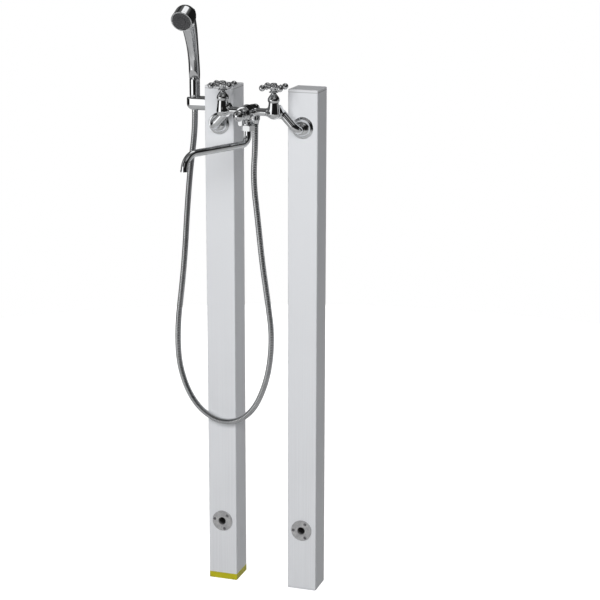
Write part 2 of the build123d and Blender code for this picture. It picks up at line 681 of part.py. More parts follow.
def make_mixer_body():
    """The mixer's casting: two valves, the arm between them, the diverter's barrel and the spout's neck."""
    body = Pos(0, MIXER_Y, MIXER_HEIGHT + ARM_RISE) * arm_blank()
    body += facing(0, MIXER_Y, MIXER_HEIGHT) * barrel_blank()
    body += Pos(0, MIXER_Y, MIXER_HEIGHT) * neck_blank()
    for s in SIDES.values():
        body += Pos(s * VALVE_X, MIXER_Y, MIXER_HEIGHT) * valve_blank()
        body += level(UNION_THREAD_RADIUS, MIXER_Y, BOSS_END_Y, s * VALVE_X, MIXER_HEIGHT)
    for s in SIDES.values():
        body -= valve_ways(s * VALVE_X, s)
    plug_back = MIXER_Y + PLUG_CHAMBER_BACK
    body -= level(PLUG_BORE, BARREL_FRONT_Y - CUT_OVER, plug_back, 0, MIXER_HEIGHT)
    body -= level(SHOWER_PORT_RADIUS, plug_back - CUT_OVER, BARREL_BACK_Y + CUT_OVER, 0, MIXER_HEIGHT)
    body -= upright(SPOUT_PORT_RADIUS, NECK_Z - CUT_OVER, MIXER_HEIGHT, 0, MIXER_Y)
    body -= upright(NECK_BORE, NECK_Z - CUT_OVER, NECK_Z + NECK_SOCKET_DEPTH, 0, MIXER_Y)
    return body


def valve_frame(side):
    """The place of a valve's rim."""
    return Pos(SIDES[side] * VALVE_X, MIXER_Y, RIM_Z)


def make_cap_nut(side):
    """The teardrop-shaped cap nut that closes a valve and holds the spindle's thread."""
    rim = (RIM_RADIUS, 0)
    bulge = (CAP_NUT_BULGE_RADIUS, CAP_NUT_BULGE_RISE)
    shoulder = (CAP_NUT_SHOULDER_RADIUS, CAP_NUT_SHOULDER_RISE)
    neck = (CAP_NUT_NECK_RADIUS, CAP_NUT_HEIGHT)
    skirt = CHAMBER_THREAD_RADIUS - SOCKET_GAP
    depth = -CHAMBER_THREAD_DEPTH
    curve = Spline(rim, bulge, shoulder, neck)
    nut = turned(curve, Polyline(neck, (0, CAP_NUT_HEIGHT), (0, depth), (skirt, depth), (skirt, 0), rim))
    nut -= upright(CAP_NUT_SKIRT_BORE, depth - CUT_OVER, -CAP_NUT_SKIRT_DEPTH)
    nut -= upright(SPINDLE_THREAD_RADIUS + RUNNING_GAP, depth, PACKING_RISE)
    packing_top = PACKING_RISE + PACKING_HEIGHT
    nut -= upright(PACKING_RADIUS + SOCKET_GAP, PACKING_RISE - SOCKET_GAP, packing_top + SOCKET_GAP)
    nut -= upright(SPINDLE_RADIUS + RUNNING_GAP, PACKING_RISE, CAP_NUT_HEIGHT + CUT_OVER)
    return valve_frame(side) * nut


def make_packing(side):
    """The rubber packing ring round a spindle."""
    top = PACKING_RISE + PACKING_HEIGHT
    ring = upright(PACKING_RADIUS, PACKING_RISE, top)
    ring -= upright(SPINDLE_RADIUS + RUNNING_GAP, PACKING_RISE - CUT_OVER, top + CUT_OVER)
    return valve_frame(side) * ring


def jumper_top():
    """Height of the jumper disc's upper face from the rim."""
    return SEAT_Z - RIM_Z + SEAT_GAP + SEAT_WASHER_THICKNESS + JUMPER_THICKNESS


def make_spindle(side):
    """The valve spindle: a threaded foot, a stem and a tapped top for the handle's screw."""
    foot = jumper_top() + FACE_GAP
    spindle = upright(SPINDLE_THREAD_RADIUS, foot, foot + SPINDLE_THREAD_LENGTH)
    spindle += upright(SPINDLE_RADIUS, foot, SPINDLE_TOP_RISE)
    spindle -= upright(JUMPER_STEM_RADIUS + RUNNING_GAP, foot - CUT_OVER, foot + JUMPER_STEM_LENGTH)
    tapped = HANDLE_SCREW_RADIUS + SOCKET_GAP
    spindle -= upright(tapped, SPINDLE_TOP_RISE - HANDLE_SCREW_LENGTH, SPINDLE_TOP_RISE + CUT_OVER)
    return valve_frame(side) * spindle


def make_jumper(side):
    """The loose disc under the spindle that carries the valve's rubber washer."""
    top = jumper_top()
    jumper = upright(JUMPER_RADIUS, top - JUMPER_THICKNESS, top)
    jumper += upright(JUMPER_STEM_RADIUS, top, top + JUMPER_STEM_LENGTH - FACE_GAP)
    return valve_frame(side) * jumper


def make_seat_washer(side):
    """The rubber washer that closes the valve's seat."""
    top = jumper_top() - JUMPER_THICKNESS
    return valve_frame(side) * upright(SEAT_WASHER_RADIUS, top - SEAT_WASHER_THICKNESS, top)


def handle_arm():
    """One arm of the cross handle about Z: a slim stem, a bead and a ball at the end."""
    bead = HANDLE_BEAD_CIRCLE / 2
    ball = HANDLE_BALL_CIRCLE / 2
    stem = upright(HANDLE_NECK_RADIUS, 0, ball)
    bead_body = Pos(0, 0, bead) * scale(Sphere(HANDLE_BEAD_RADIUS), (1, 1, HANDLE_BEAD_LENGTH_SHARE))
    return stem + bead_body + Pos(0, 0, ball) * Sphere(HANDLE_BALL_RADIUS)


def make_handle(side):
    """The cross handle: a waisted hub with four ball-ended arms."""
    skirt = (HUB_SKIRT_RADIUS, HUB_SKIRT_RISE)
    waist = (HUB_WAIST_RADIUS, HUB_WAIST_RISE)
    shoulder = (HUB_RADIUS, HANDLE_ARM_RISE)
    brow = (HANDLE_CAP_RADIUS, HUB_TOP_RISE)
    curve = Spline(skirt, waist, shoulder, brow)
    handle = turned(curve, Polyline(brow, (0, HUB_TOP_RISE), (0, HUB_SKIRT_RISE), skirt))
    for place in PolarLocations(0, HANDLE_ARM_COUNT, start_angle=HANDLE_ARM_TURN):
        handle += Pos(0, 0, HANDLE_ARM_RISE) * place * Rot(Y=90) * handle_arm()
    handle -= upright(SPINDLE_RADIUS + SOCKET_GAP, HUB_SKIRT_RISE - CUT_OVER, SPINDLE_TOP_RISE)
    handle -= upright(HUB_RECESS_RADIUS, HUB_TOP_RISE - HUB_RECESS_DEPTH, HUB_TOP_RISE + CUT_OVER)
    handle -= upright(HANDLE_SCREW_RADIUS + SOCKET_GAP, HUB_SKIRT_RISE, HUB_TOP_RISE)
    return valve_frame(side) * handle


def make_handle_screw(side):
    """The screw that holds a handle on its spindle, under the handle's cap."""
    floor = HUB_TOP_RISE - HUB_RECESS_DEPTH
    screw = upright(HANDLE_SCREW_RADIUS, SPINDLE_TOP_RISE - HANDLE_SCREW_LENGTH + SOCKET_GAP, floor)
    screw += upright(HANDLE_SCREW_HEAD_RADIUS, floor, floor + HANDLE_SCREW_HEAD_HEIGHT)
    slot = Box(2 * HANDLE_SCREW_HEAD_RADIUS + CUT_OVER, SCREW_SLOT_WIDTH, 2 * SCREW_SLOT_DEPTH)
    screw -= Pos(0, 0, floor + HANDLE_SCREW_HEAD_HEIGHT) * slot
    return valve_frame(side) * screw


def make_handle_cap(side):
    """The domed button in the middle of a handle."""
    rim = (HANDLE_CAP_RADIUS, HANDLE_CAP_RIM)
    crown = (0, HANDLE_CAP_RIM + HANDLE_CAP_DOME)
    plug_radius = HUB_RECESS_RADIUS - SOCKET_GAP
    plug_depth = HUB_RECESS_DEPTH - HANDLE_SCREW_HEAD_HEIGHT - FACE_GAP
    dome = Bezier(rim, (HANDLE_CAP_RADIUS, HANDLE_CAP_RIM + HANDLE_CAP_DOME), crown)
    rest = Polyline(
        crown,
        (0, -plug_depth),
        (plug_radius, -plug_depth),
        (plug_radius, 0),
        (HANDLE_CAP_RADIUS, 0),
        rim,
    )
    return valve_frame(side) * Pos(0, 0, HUB_TOP_RISE) * turned(dome, rest)


def diverter_frame():
    """The place of the barrel's front face, with Z to the front."""
    return facing(0, BARREL_FRONT_Y, MIXER_HEIGHT)


def knob_floor():
    """Height of the floor of the knob's hole from the barrel's front face."""
    return KNOB_STANDOFF - BARREL_FRONT_REACH + KNOB_RADIUS - KNOB_CROWN


def make_diverter_nut():
    """The cap nut on the barrel's front that holds the diverter's plug in."""
    length = DIVERTER_NUT_LENGTH
    base = (DIVERTER_NUT_RADIUS, DIVERTER_NUT_COLLAR)
    front = (DIVERTER_NUT_FRONT_RADIUS, length)
    curve = Bezier(base, (DIVERTER_NUT_FRONT_RADIUS, DIVERTER_NUT_COLLAR), front)
    nut = turned(curve, Polyline(front, (0, length), (0, 0), (DIVERTER_NUT_RADIUS, 0), base))
    nut -= upright(DIVERTER_STEM_RADIUS + RUNNING_GAP, -CUT_OVER, length + CUT_OVER)
    return diverter_frame() * nut


def make_diverter_plug():
    """The turning plug that sends the water to the spout or to the shower, with its stem."""
    plug = upright(PLUG_BORE - RUNNING_GAP, -DIVERTER_PLUG_LENGTH, -FACE_GAP)
    middle = -BARREL_FRONT_REACH
    groove = DIVERTER_GROOVE_LENGTH / 2
    ring = upright(PLUG_BORE, middle - groove, middle + groove)
    ring -= upright(DIVERTER_GROOVE_RADIUS, middle - groove - CUT_OVER, middle + groove + CUT_OVER)
    plug -= ring
    plug -= upright(DIVERTER_PASSAGE_RADIUS, -DIVERTER_PLUG_LENGTH - CUT_OVER, middle)
    plug -= Pos(0, 0, middle) * Rot(X=90) * upright(DIVERTER_PASSAGE_RADIUS, 0, PLUG_BORE)
    plug += upright(DIVERTER_STEM_RADIUS, -FACE_GAP, knob_floor())
    return diverter_frame() * plug


def make_diverter_knob():
    """The ball knob of the diverter, with a collar behind it and a pointer that hangs down."""
    centre = KNOB_STANDOFF - BARREL_FRONT_REACH
    back = DIVERTER_NUT_LENGTH + FACE_GAP
    knob = Pos(0, 0, centre) * Sphere(KNOB_RADIUS)
    knob += upright(KNOB_COLLAR_RADIUS, back, centre)
    slot = SlotCenterToCenter(POINTER_DROP - POINTER_TIP_RADIUS, 2 * POINTER_TIP_RADIUS, rotation=90)
    pointer = Pos(0, -(POINTER_DROP - POINTER_TIP_RADIUS) / 2, back) * extrude(slot, POINTER_THICKNESS)
    knob += pointer
    knob -= upright(DIVERTER_STEM_RADIUS + SOCKET_GAP, back - CUT_OVER, knob_floor())
    return diverter_frame() * knob


def spout_direction():
    """The way the spout points, seen from above: a little to the left of straight ahead."""
    turn = math.radians(SPOUT_TURN)
    return -math.sin(turn), -math.cos(turn)


def spout_route(top):
    """The spout's centre line: down out of the neck, forward, and down to the outlet."""
    dx, dy = spout_direction()
    arm_z = MIXER_HEIGHT - SPOUT_DROP
    end = (SPOUT_REACH * dx, MIXER_Y + SPOUT_REACH * dy)
    return FilletPolyline(
        (0, MIXER_Y, top),
        (0, MIXER_Y, arm_z),
        (*end, arm_z),
        (*end, arm_z - SPOUT_TIP_DROP),
        radius=[SPOUT_ROOT_BEND, SPOUT_TIP_BEND],
    )


def make_spout():
    """The swinging spout: a bent tube with a sleeve and a collar at the root and a lip at the outlet."""
    dx, dy = spout_direction()
    sleeve_radius = NECK_BORE - RUNNING_GAP
    top = NECK_Z + SPOUT_SLEEVE_LENGTH
    collar_low = NECK_Z - SLIDE_GAP - SPOUT_COLLAR_THICKNESS
    route = spout_route(top)
    start = Plane(route @ 0, z_dir=route % 0)
    tube = sweep(start * Circle(SPOUT_RADIUS), path=route)
    tube += upright(sleeve_radius, NECK_Z, top, 0, MIXER_Y)
    tube += upright(SPOUT_COLLAR_RADIUS, collar_low, NECK_Z - SLIDE_GAP, 0, MIXER_Y)
    tube += upright(sleeve_radius, NECK_Z - SLIDE_GAP, NECK_Z, 0, MIXER_Y)
    groove_top = top - SPOUT_GROOVE_DROP
    groove_low = groove_top - SPOUT_GROOVE_LENGTH
    groove = upright(NECK_BORE, groove_low, groove_top, 0, MIXER_Y)
    groove -= upright(SPOUT_GROOVE_RADIUS, groove_low - CUT_OVER, groove_top + CUT_OVER, 0, MIXER_Y)
    tube -= groove
    outlet = MIXER_HEIGHT - SPOUT_DROP - SPOUT_TIP_DROP
    end = (SPOUT_REACH * dx, MIXER_Y + SPOUT_REACH * dy)
    tube += upright(SPOUT_LIP_RADIUS, outlet, outlet + SPOUT_LIP_HEIGHT, *end)
    return tube - sweep(start * Circle(SPOUT_BORE), path=route)


def make_spout_packing():
    """The sealing ring in the groove of the spout's sleeve."""
    top = NECK_Z + SPOUT_SLEEVE_LENGTH - SPOUT_GROOVE_DROP - SOCKET_GAP
    low = top - SPOUT_GROOVE_LENGTH + 2 * SOCKET_GAP
    ring = upright(NECK_BORE - RUNNING_GAP, low, top, 0, MIXER_Y)
    return ring - upright(SPOUT_GROOVE_RADIUS + SOCKET_GAP, low - CUT_OVER, top + CUT_OVER, 0, MIXER_Y)


def make_spout_nut():
    """The nut that holds the spout in the neck, with a rounded underside."""
    low = NECK_Z - SPOUT_NUT_HEIGHT + SPOUT_NUT_ENGAGEMENT
    nut = hexagon(SPOUT_NUT_FLATS, SPOUT_NUT_HEIGHT, NUT_CHAMFER)
    corner = SPOUT_NUT_FLATS / 2 / math.cos(math.radians(30))
    skin = Bezier((corner - SPOUT_NUT_ROUND, 0), (corner, 0), (corner, SPOUT_NUT_ROUND))
    rest = Polyline(
        (corner, SPOUT_NUT_ROUND),
        (corner, SPOUT_NUT_HEIGHT),
        (0, SPOUT_NUT_HEIGHT),
        (0, 0),
        (corner - SPOUT_NUT_ROUND, 0),
    )
    nut &= turned(skin, rest)
    nut -= upright(SPOUT_RADIUS + FACE_GAP, -CUT_OVER, SPOUT_NUT_HEIGHT)
    nut -= upright(NECK_THREAD_RADIUS + SOCKET_GAP, SPOUT_NUT_FLOOR, SPOUT_NUT_HEIGHT + CUT_OVER)
    return Pos(0, MIXER_Y, low) * nut


def make_shower_elbow():
    """The domed elbow behind the barrel that turns the water down to the hose."""
    low = MIXER_HEIGHT - SHOWER_ELBOW_DROP
    dome = MIXER_HEIGHT + SHOWER_ELBOW_TOP_RISE - SHOWER_ELBOW_RADIUS
    elbow = upright(SHOWER_ELBOW_RADIUS, low, dome, 0, SHOWER_Y)
    elbow += Pos(0, SHOWER_Y, dome) * Sphere(SHOWER_ELBOW_RADIUS)
    elbow += level(SHOWER_ELBOW_RADIUS - FACE_GAP, BARREL_BACK_Y, SHOWER_Y, 0, MIXER_HEIGHT)
    elbow += upright(SHOWER_THREAD_RADIUS, low - SHOWER_THREAD_LENGTH, low, 0, SHOWER_Y)
    elbow -= upright(SHOWER_ELBOW_BORE, low - SHOWER_THREAD_LENGTH - CUT_OVER, MIXER_HEIGHT, 0, SHOWER_Y)
    elbow -= level(SHOWER_ELBOW_BORE, BARREL_BACK_Y - CUT_OVER, SHOWER_Y, 0, MIXER_HEIGHT)
    return elbow - Pos(0, SHOWER_Y, MIXER_HEIGHT) * Sphere(SHOWER_ELBOW_BORE)


def make_hose_nut():
    """The fluted nut that joins the hose to the shower elbow, with its tapered tail."""
    low = HOSE_TOP_Z
    tail_top = low + HOSE_NUT_TAIL_LENGTH
    grip_top = HOSE_NUT_TOP_Z
    nut = turned_points(
        (0, low),
        (HOSE_TAIL_RADIUS, low),
        (HOSE_TAIL_RADIUS, low + HOSE_NUT_TAIL_LAND),
        (HOSE_NUT_RADIUS - NUT_CHAMFER, tail_top),
        (HOSE_NUT_RADIUS, tail_top + NUT_CHAMFER),
        (HOSE_NUT_RADIUS, grip_top - NUT_CHAMFER),
        (HOSE_NUT_RADIUS - NUT_CHAMFER, grip_top),
        (0, grip_top),
    )
    flute = upright(HOSE_NUT_FLUTE_RADIUS, tail_top + 2 * NUT_CHAMFER, grip_top - 2 * NUT_CHAMFER)
    for place in PolarLocations(HOSE_NUT_RADIUS + HOSE_NUT_FLUTE_RADIUS / 2, HOSE_NUT_FLUTE_COUNT):
        nut -= place * flute
    thread_low = MIXER_HEIGHT - SHOWER_ELBOW_DROP - SHOWER_THREAD_LENGTH - HOSE_WASHER_THICKNESS
    nut -= upright(SHOWER_THREAD_RADIUS + SOCKET_GAP, thread_low, grip_top + CUT_OVER)
    nut -= upright(HOSE_BORE, low - CUT_OVER, grip_top)
    return Pos(0, SHOWER_Y, 0) * nut


def make_hose_nut_washer():
    """The flat washer inside the hose nut."""
    top = MIXER_HEIGHT - SHOWER_ELBOW_DROP - SHOWER_THREAD_LENGTH
    low = top - HOSE_WASHER_THICKNESS
    ring = upright(SHOWER_THREAD_RADIUS, low, top, 0, SHOWER_Y)
    return ring - upright(SHOWER_ELBOW_BORE, low - CUT_OVER, top + CUT_OVER, 0, SHOWER_Y)


def hose_radii():
    """The bend radius at each inner point of the route, as large as its two runs allow."""
    points = [Vector(*p) for p in HOSE_ROUTE]
    radii = []
    for before, here, after in zip(points, points[1:], points[2:]):
        half_turn = math.radians((here - before).get_angle(after - here)) / 2
        shorter = min((here - before).length, (after - here).length)
        radii.append(HOSE_RUN_SHARE * shorter / math.tan(half_turn))
    return radii


def make_hose():
    """The shower hose: a tube with its bore, on straight runs joined by tangent arcs."""
    radii = hose_radii()
    route = FilletPolyline(*HOSE_ROUTE, radius=radii)
    start = Plane(route @ 0, z_dir=route % 0)
    hose = sweep(start * (Circle(HOSE_RADIUS) - Circle(HOSE_BORE)), path=route)
    section = math.pi * (HOSE_RADIUS**2 - HOSE_BORE**2)
    print("hose length", round(route.length, 1), "tightest bend", round(min(radii), 1))
    print("hose volume share of section times length", round(hose.volume / (section * route.length), 4))
    return hose


def cone_nut_radius(height):
    """The cone nut's radius at a height above its lower end."""
    share = min(height / CONE_NUT_CONE_HEIGHT, 1)
    return CONE_NUT_END_RADIUS + (CONE_NUT_RADIUS - CONE_NUT_END_RADIUS) * share


def make_cone_nut():
    """The long tapered nut at the hose's end that hangs in the hanger."""
    height = CONE_NUT_HEIGHT
    nut = turned_points(
        (0, 0),
        (CONE_NUT_END_RADIUS - CONE_NUT_GROOVE, 0),
        (CONE_NUT_END_RADIUS, CONE_NUT_GROOVE),
        (CONE_NUT_RADIUS, CONE_NUT_CONE_HEIGHT),
        (CONE_NUT_RADIUS, height - CONE_NUT_GROOVE),
        (CONE_NUT_RADIUS - CONE_NUT_GROOVE, height),
        (0, height),
    )
    nut -= upright(HOSE_BORE, -CUT_OVER, height)
    nut -= upright(GRIP_BORE + SOCKET_GAP, height - CONE_NUT_THREAD_DEPTH, height + CUT_OVER)
    return Pos(HANGER_X, 0, CONE_BOTTOM_Z) * nut


def make_cone_washer():
    """The flat washer inside the cone nut."""
    low = GRIP_Z - CONE_NUT_THREAD_DEPTH
    ring = upright(GRIP_BORE, low, low + HOSE_WASHER_THICKNESS, HANGER_X)
    return ring - upright(HOSE_BORE, low - CUT_OVER, low + HOSE_WASHER_THICKNESS + CUT_OVER, HANGER_X)


def hanger_screw_heights():
    """Heights of the two screws that hold the hanger."""
    middle = HANGER_TOP - HANGER_HEIGHT / 2
    return middle - HANGER_SCREW_SPACING / 2, middle + HANGER_SCREW_SPACING / 2


def make_hanger():
    """The hanger on the left post: a rounded boss with a conical hole and a slot for the hose."""
    plan = Circle(HANGER_RADIUS) + Pos(HANGER_REACH / 2, 0) * Rectangle(HANGER_REACH, 2 * HANGER_RADIUS)
    boss = extrude(plan, HANGER_HEIGHT)
    lower = boss.edges().group_by(Axis.Z)[0].sort_by(Axis.X)[:-1]
    boss = fillet(lower, HANGER_BOTTOM_ROUND)
    upper = boss.edges().group_by(Axis.Z)[-1].sort_by(Axis.X)[:-1]
    boss = fillet(upper, HANGER_TOP_ROUND)
    bottom = HANGER_TOP - HANGER_HEIGHT - CONE_BOTTOM_Z
    boss -= turned_points(
        (0, -CUT_OVER),
        (cone_nut_radius(bottom) + FACE_GAP, -CUT_OVER),
        (cone_nut_radius(bottom) + FACE_GAP, 0),
        (cone_nut_radius(bottom + HANGER_HEIGHT) + FACE_GAP, HANGER_HEIGHT),
        (cone_nut_radius(bottom + HANGER_HEIGHT) + FACE_GAP, HANGER_HEIGHT + CUT_OVER),
        (0, HANGER_HEIGHT + CUT_OVER),
    )
    slot_length = HANGER_RADIUS + CUT_OVER
    slot = Box(slot_length, HANGER_SLOT_WIDTH, HANGER_HEIGHT + 2 * CUT_OVER)
    boss -= Pos(-slot_length / 2, 0, HANGER_HEIGHT / 2) * slot
    boss = Pos(HANGER_X, 0, HANGER_TOP - HANGER_HEIGHT) * boss
    face = HANGER_X + HANGER_REACH
    for z in hanger_screw_heights():
        depth = HANGER_SCREW_LENGTH - POST_WALL
        boss -= sideways(HANGER_SCREW_RADIUS + SOCKET_GAP, face - depth - SOCKET_GAP, face + CUT_OVER, 0, z)
    return boss


def make_hanger_screws():
    """The two screws that hold the hanger from inside the post."""
    face = HANGER_X + HANGER_REACH
    inside = face + POST_WALL
    screws = []
    for z in hanger_screw_heights():
        shank = sideways(HANGER_SCREW_RADIUS, inside - HANGER_SCREW_LENGTH, inside, 0, z)
        head = sideways(HANGER_SCREW_HEAD_RADIUS, inside, inside + HANGER_SCREW_HEAD_HEIGHT, 0, z)
        screws.append(shank + head)
    return Compound(screws)


def grip_section(height, radius):
    """A circle across the grip, which leans forward along a large arc."""
    lean = math.asin(height / GRIP_BEND_RADIUS)
    y = -GRIP_BEND_RADIUS * (1 - math.cos(lean))
    plane = Plane((0, y, height), x_dir=(1, 0, 0), z_dir=(0, -math.sin(lean), math.cos(lean)))
    return plane * Circle(radius)


def head_frame():
    """The place of the shower head's face, with Z running into the head."""
    tilt = math.radians(HEAD_TILT)
    plane = Plane(
        (HANGER_X, -HEAD_FACE_REACH, GRIP_Z + HEAD_FACE_RISE),
        x_dir=(1, 0, 0),
        z_dir=(0, math.cos(tilt), math.sin(tilt)),
    )
    return plane.location


def head_blank():
    """The drum of the shower head with its domed back."""
    barrel_end = (HEAD_RADIUS, HEAD_BARREL_LENGTH)
    crown = (0, HEAD_LENGTH)
    dome_length = HEAD_LENGTH - HEAD_BARREL_LENGTH
    knee = (HEAD_RADIUS * HEAD_DOME_RADIUS_SHARE, HEAD_BARREL_LENGTH + dome_length * HEAD_DOME_LENGTH_SHARE)
    dome = Spline(barrel_end, knee, crown, tangents=((0, 1), (-1, 0)))
    rest = Polyline(
        crown,
        (0, 0),
        (HEAD_RIM_RADIUS - HEAD_WALL / 2, 0),
        (HEAD_RIM_RADIUS, HEAD_WALL / 2),
        (HEAD_RIM_RADIUS, HEAD_RIM_LENGTH),
        (HEAD_RADIUS, HEAD_RIM_LENGTH + HEAD_WALL / 2),
        barrel_end,
    )
    return turned(dome, rest)


def make_hand_shower():
    """The hand shower's casting: a leaning grip that swells into the drum-shaped head."""
    sections = [grip_section(h, r) for h, r in zip(GRIP_HEIGHTS, GRIP_RADII)]
    body = Pos(HANGER_X, 0, GRIP_Z) * loft(sections)
    body += head_frame() * head_blank()
    body += upright(GRIP_BORE, GRIP_Z - GRIP_BORE_DEPTH + SOCKET_GAP, GRIP_Z, HANGER_X)
    body -= upright(HOSE_BORE, GRIP_Z - GRIP_BORE_DEPTH - CUT_OVER, GRIP_Z + GRIP_BORE_DEPTH, HANGER_X)
    pocket = upright(SPRAY_RING_RADIUS + SOCKET_GAP, -CUT_OVER, HEAD_POCKET_DEPTH)
    return body - head_frame() * pocket


def make_spray_ring():
    """The ring that clamps the spray plate in the head."""
    ring = turned_points(
        (SPRAY_RING_BORE + SPRAY_PLATE_RECESS, 0),
        (SPRAY_RING_RADIUS, 0),
        (SPRAY_RING_RADIUS, SPRAY_RING_DEPTH),
        (SPRAY_RING_BORE, SPRAY_RING_DEPTH),
        (SPRAY_RING_BORE, SPRAY_PLATE_RECESS),
    )
    return head_frame() * ring


def make_spray_plate():
    """The spray plate: a raised crown and rings of nozzle holes."""
    low = SPRAY_PLATE_RECESS
    radius = SPRAY_RING_BORE - SOCKET_GAP
    plate = upright(radius, low, low + SPRAY_PLATE_THICKNESS)
    back = SPRAY_RING_DEPTH + SPRAY_PLATE_THICKNESS
    plate += upright(SPRAY_RING_RADIUS, SPRAY_RING_DEPTH + SOCKET_GAP, back)
    plate += upright(radius, low, back)
    plate += upright(SPRAY_CROWN_RADIUS, low - SPRAY_CROWN_HEIGHT, low)
    for circle, count in zip(SPRAY_HOLE_CIRCLES, SPRAY_HOLE_COUNTS):
        for place in PolarLocations(circle / 2, count):
            plate -= place * upright(SPRAY_HOLE_RADIUS, -CUT_OVER, back + CUT_OVER)
    return head_frame() * plate


def save(name, shape):
    """Writes one node to its own file."""
    export_step(shape, f"parts/{name}.step")


os.makedirs("parts", exist_ok=True)

PAIRED = {
    "post": make_post,
    "post_cap": make_post_cap,
    "foot_plug": make_foot_plug,
    "inlet_elbow": make_inlet_elbow,
    "inlet_screws": make_inlet_screws,
    "riser_pipe": make_riser,
    "outlet_elbow": make_outlet_elbow,
    "lock_nut": make_lock_nut,
    "escutcheon": make_escutcheon,
    "leg": make_leg,
    "union_nut": make_union_nut,
    "union_washer": make_union_washer,
    "cap_nut": make_cap_nut,
    "spindle_packing": make_packing,
    "spindle": make_spindle,
    "jumper": make_jumper,
    "seat_washer": make_seat_washer,
    "handle": make_handle,
    "handle_screw": make_handle_screw,
    "handle_cap": make_handle_cap,
}
SINGLE = {
    "foot_band": make_foot_band,
    "mixer_body": make_mixer_body,
    "diverter_nut": make_diverter_nut,
    "diverter_plug": make_diverter_plug,
    "diverter_knob": make_diverter_knob,
    "spout": make_spout,
    "spout_packing": make_spout_packing,
    "spout_nut": make_spout_nut,
    "shower_elbow": make_shower_elbow,
    "hose_nut": make_hose_nut,
    "hose_nut_washer": make_hose_nut_washer,
    "shower_hose": make_hose,
    "cone_nut": make_cone_nut,
    "cone_washer": make_cone_washer,
    "hanger": make_hanger,
    "hanger_screws": make_hanger_screws,
    "hand_shower": make_hand_shower,
    "spray_ring": make_spray_ring,
    "spray_plate": make_spray_plate,
}

for part_name, make in PAIRED.items():
    for side in SIDES:
        save(f"{side}_{part_name}", make(side))
for part_name, make in SINGLE.items():
    save(part_name, make())
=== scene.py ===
import json
import math

import bmesh
import bpy
import numpy as np
from mathutils import Matrix, Vector


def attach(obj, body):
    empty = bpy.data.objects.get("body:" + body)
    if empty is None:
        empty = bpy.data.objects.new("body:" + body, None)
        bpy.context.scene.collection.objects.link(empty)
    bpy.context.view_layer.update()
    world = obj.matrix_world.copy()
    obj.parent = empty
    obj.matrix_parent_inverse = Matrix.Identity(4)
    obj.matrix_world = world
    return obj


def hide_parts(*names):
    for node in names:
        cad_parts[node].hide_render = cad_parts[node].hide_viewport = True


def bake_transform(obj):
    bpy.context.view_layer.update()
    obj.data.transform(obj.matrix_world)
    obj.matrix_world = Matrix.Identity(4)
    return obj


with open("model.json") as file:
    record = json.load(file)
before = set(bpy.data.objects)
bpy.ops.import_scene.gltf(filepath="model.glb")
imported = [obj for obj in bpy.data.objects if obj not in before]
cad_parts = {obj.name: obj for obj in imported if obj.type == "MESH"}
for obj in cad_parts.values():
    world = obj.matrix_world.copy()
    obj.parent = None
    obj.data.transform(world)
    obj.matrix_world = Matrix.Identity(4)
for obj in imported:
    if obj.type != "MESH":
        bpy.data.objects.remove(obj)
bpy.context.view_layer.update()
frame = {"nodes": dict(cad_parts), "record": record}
MM = 0.001


def placed(name, data):
    """A new object in the scene."""
    made = bpy.data.objects.new(name, data)
    bpy.context.scene.collection.objects.link(made)
    return made


# Camera, at the photograph's viewing angle

CAMERA_PLACE = (1.36146, -3.84677, 1.76583)
CAMERA_ANGLES = (18.381, -14.657, 0.138)
CAMERA_LENS = 108.43
CAMERA_SENSOR = 36.0
CAMERA_REACH = 100.0


def place_camera():
    """Sets the camera from its solved place and its turn, tilt and lean in degrees."""
    yaw, pitch, roll = (math.radians(a) for a in CAMERA_ANGLES)
    level = math.cos(pitch)
    ahead = Vector((-math.sin(yaw) * level, math.cos(yaw) * level, math.sin(pitch)))
    right = Vector((math.cos(yaw), math.sin(yaw), 0))
    up = right.cross(ahead)
    lean_right = math.cos(roll) * right + math.sin(roll) * up
    lean_up = -math.sin(roll) * right + math.cos(roll) * up
    data = bpy.data.cameras.new("camera")
    data.lens = CAMERA_LENS
    data.sensor_width = CAMERA_SENSOR
    data.clip_end = CAMERA_REACH
    cam = placed("camera", data)
    turn = Matrix((lean_right, lean_up, -ahead)).transposed().to_4x4()
    cam.matrix_world = Matrix.Translation(CAMERA_PLACE) @ turn
    bpy.context.scene.camera = cam


place_camera()


# Nodes

class Value:
    """One socket of a node tree. Arithmetic on it adds Math nodes."""

    def __init__(self, tree, socket):
        self.tree = tree
        self.socket = socket

    def other(self, name):
        """Another output of the same node."""
        return Value(self.tree, self.socket.node.outputs[name])

    def __add__(self, other):
        return self.tree.maths("ADD", self, other)

    def __sub__(self, other):
        return self.tree.maths("SUBTRACT", self, other)

    def __rsub__(self, other):
        return self.tree.maths("SUBTRACT", other, self)

    def __mul__(self, other):
        return self.tree.maths("MULTIPLY", self, other)

    def __truediv__(self, other):
        return self.tree.maths("DIVIDE", self, other)

    def __pow__(self, power):
        return self.tree.maths("POWER", self, power)

    def __abs__(self):
        return self.tree.maths("ABSOLUTE", self)

    def __neg__(self):
        return self * -1.0

    __radd__ = __add__
    __rmul__ = __mul__

    def smaller(self, other):
        """The smaller of two values."""
        return self.tree.maths("MINIMUM", self, other)

    def larger(self, other):
        """The larger of two values."""
        return self.tree.maths("MAXIMUM", self, other)

    def fit(self, low, high, to_low=0.0, to_high=1.0):
        """The value moved smoothly from one range to another, and held at its ends."""
        kind = {"interpolation_type": "SMOOTHSTEP"}
        return self.tree.node("ShaderNodeMapRange", kind, self, low, high, to_low, to_high)


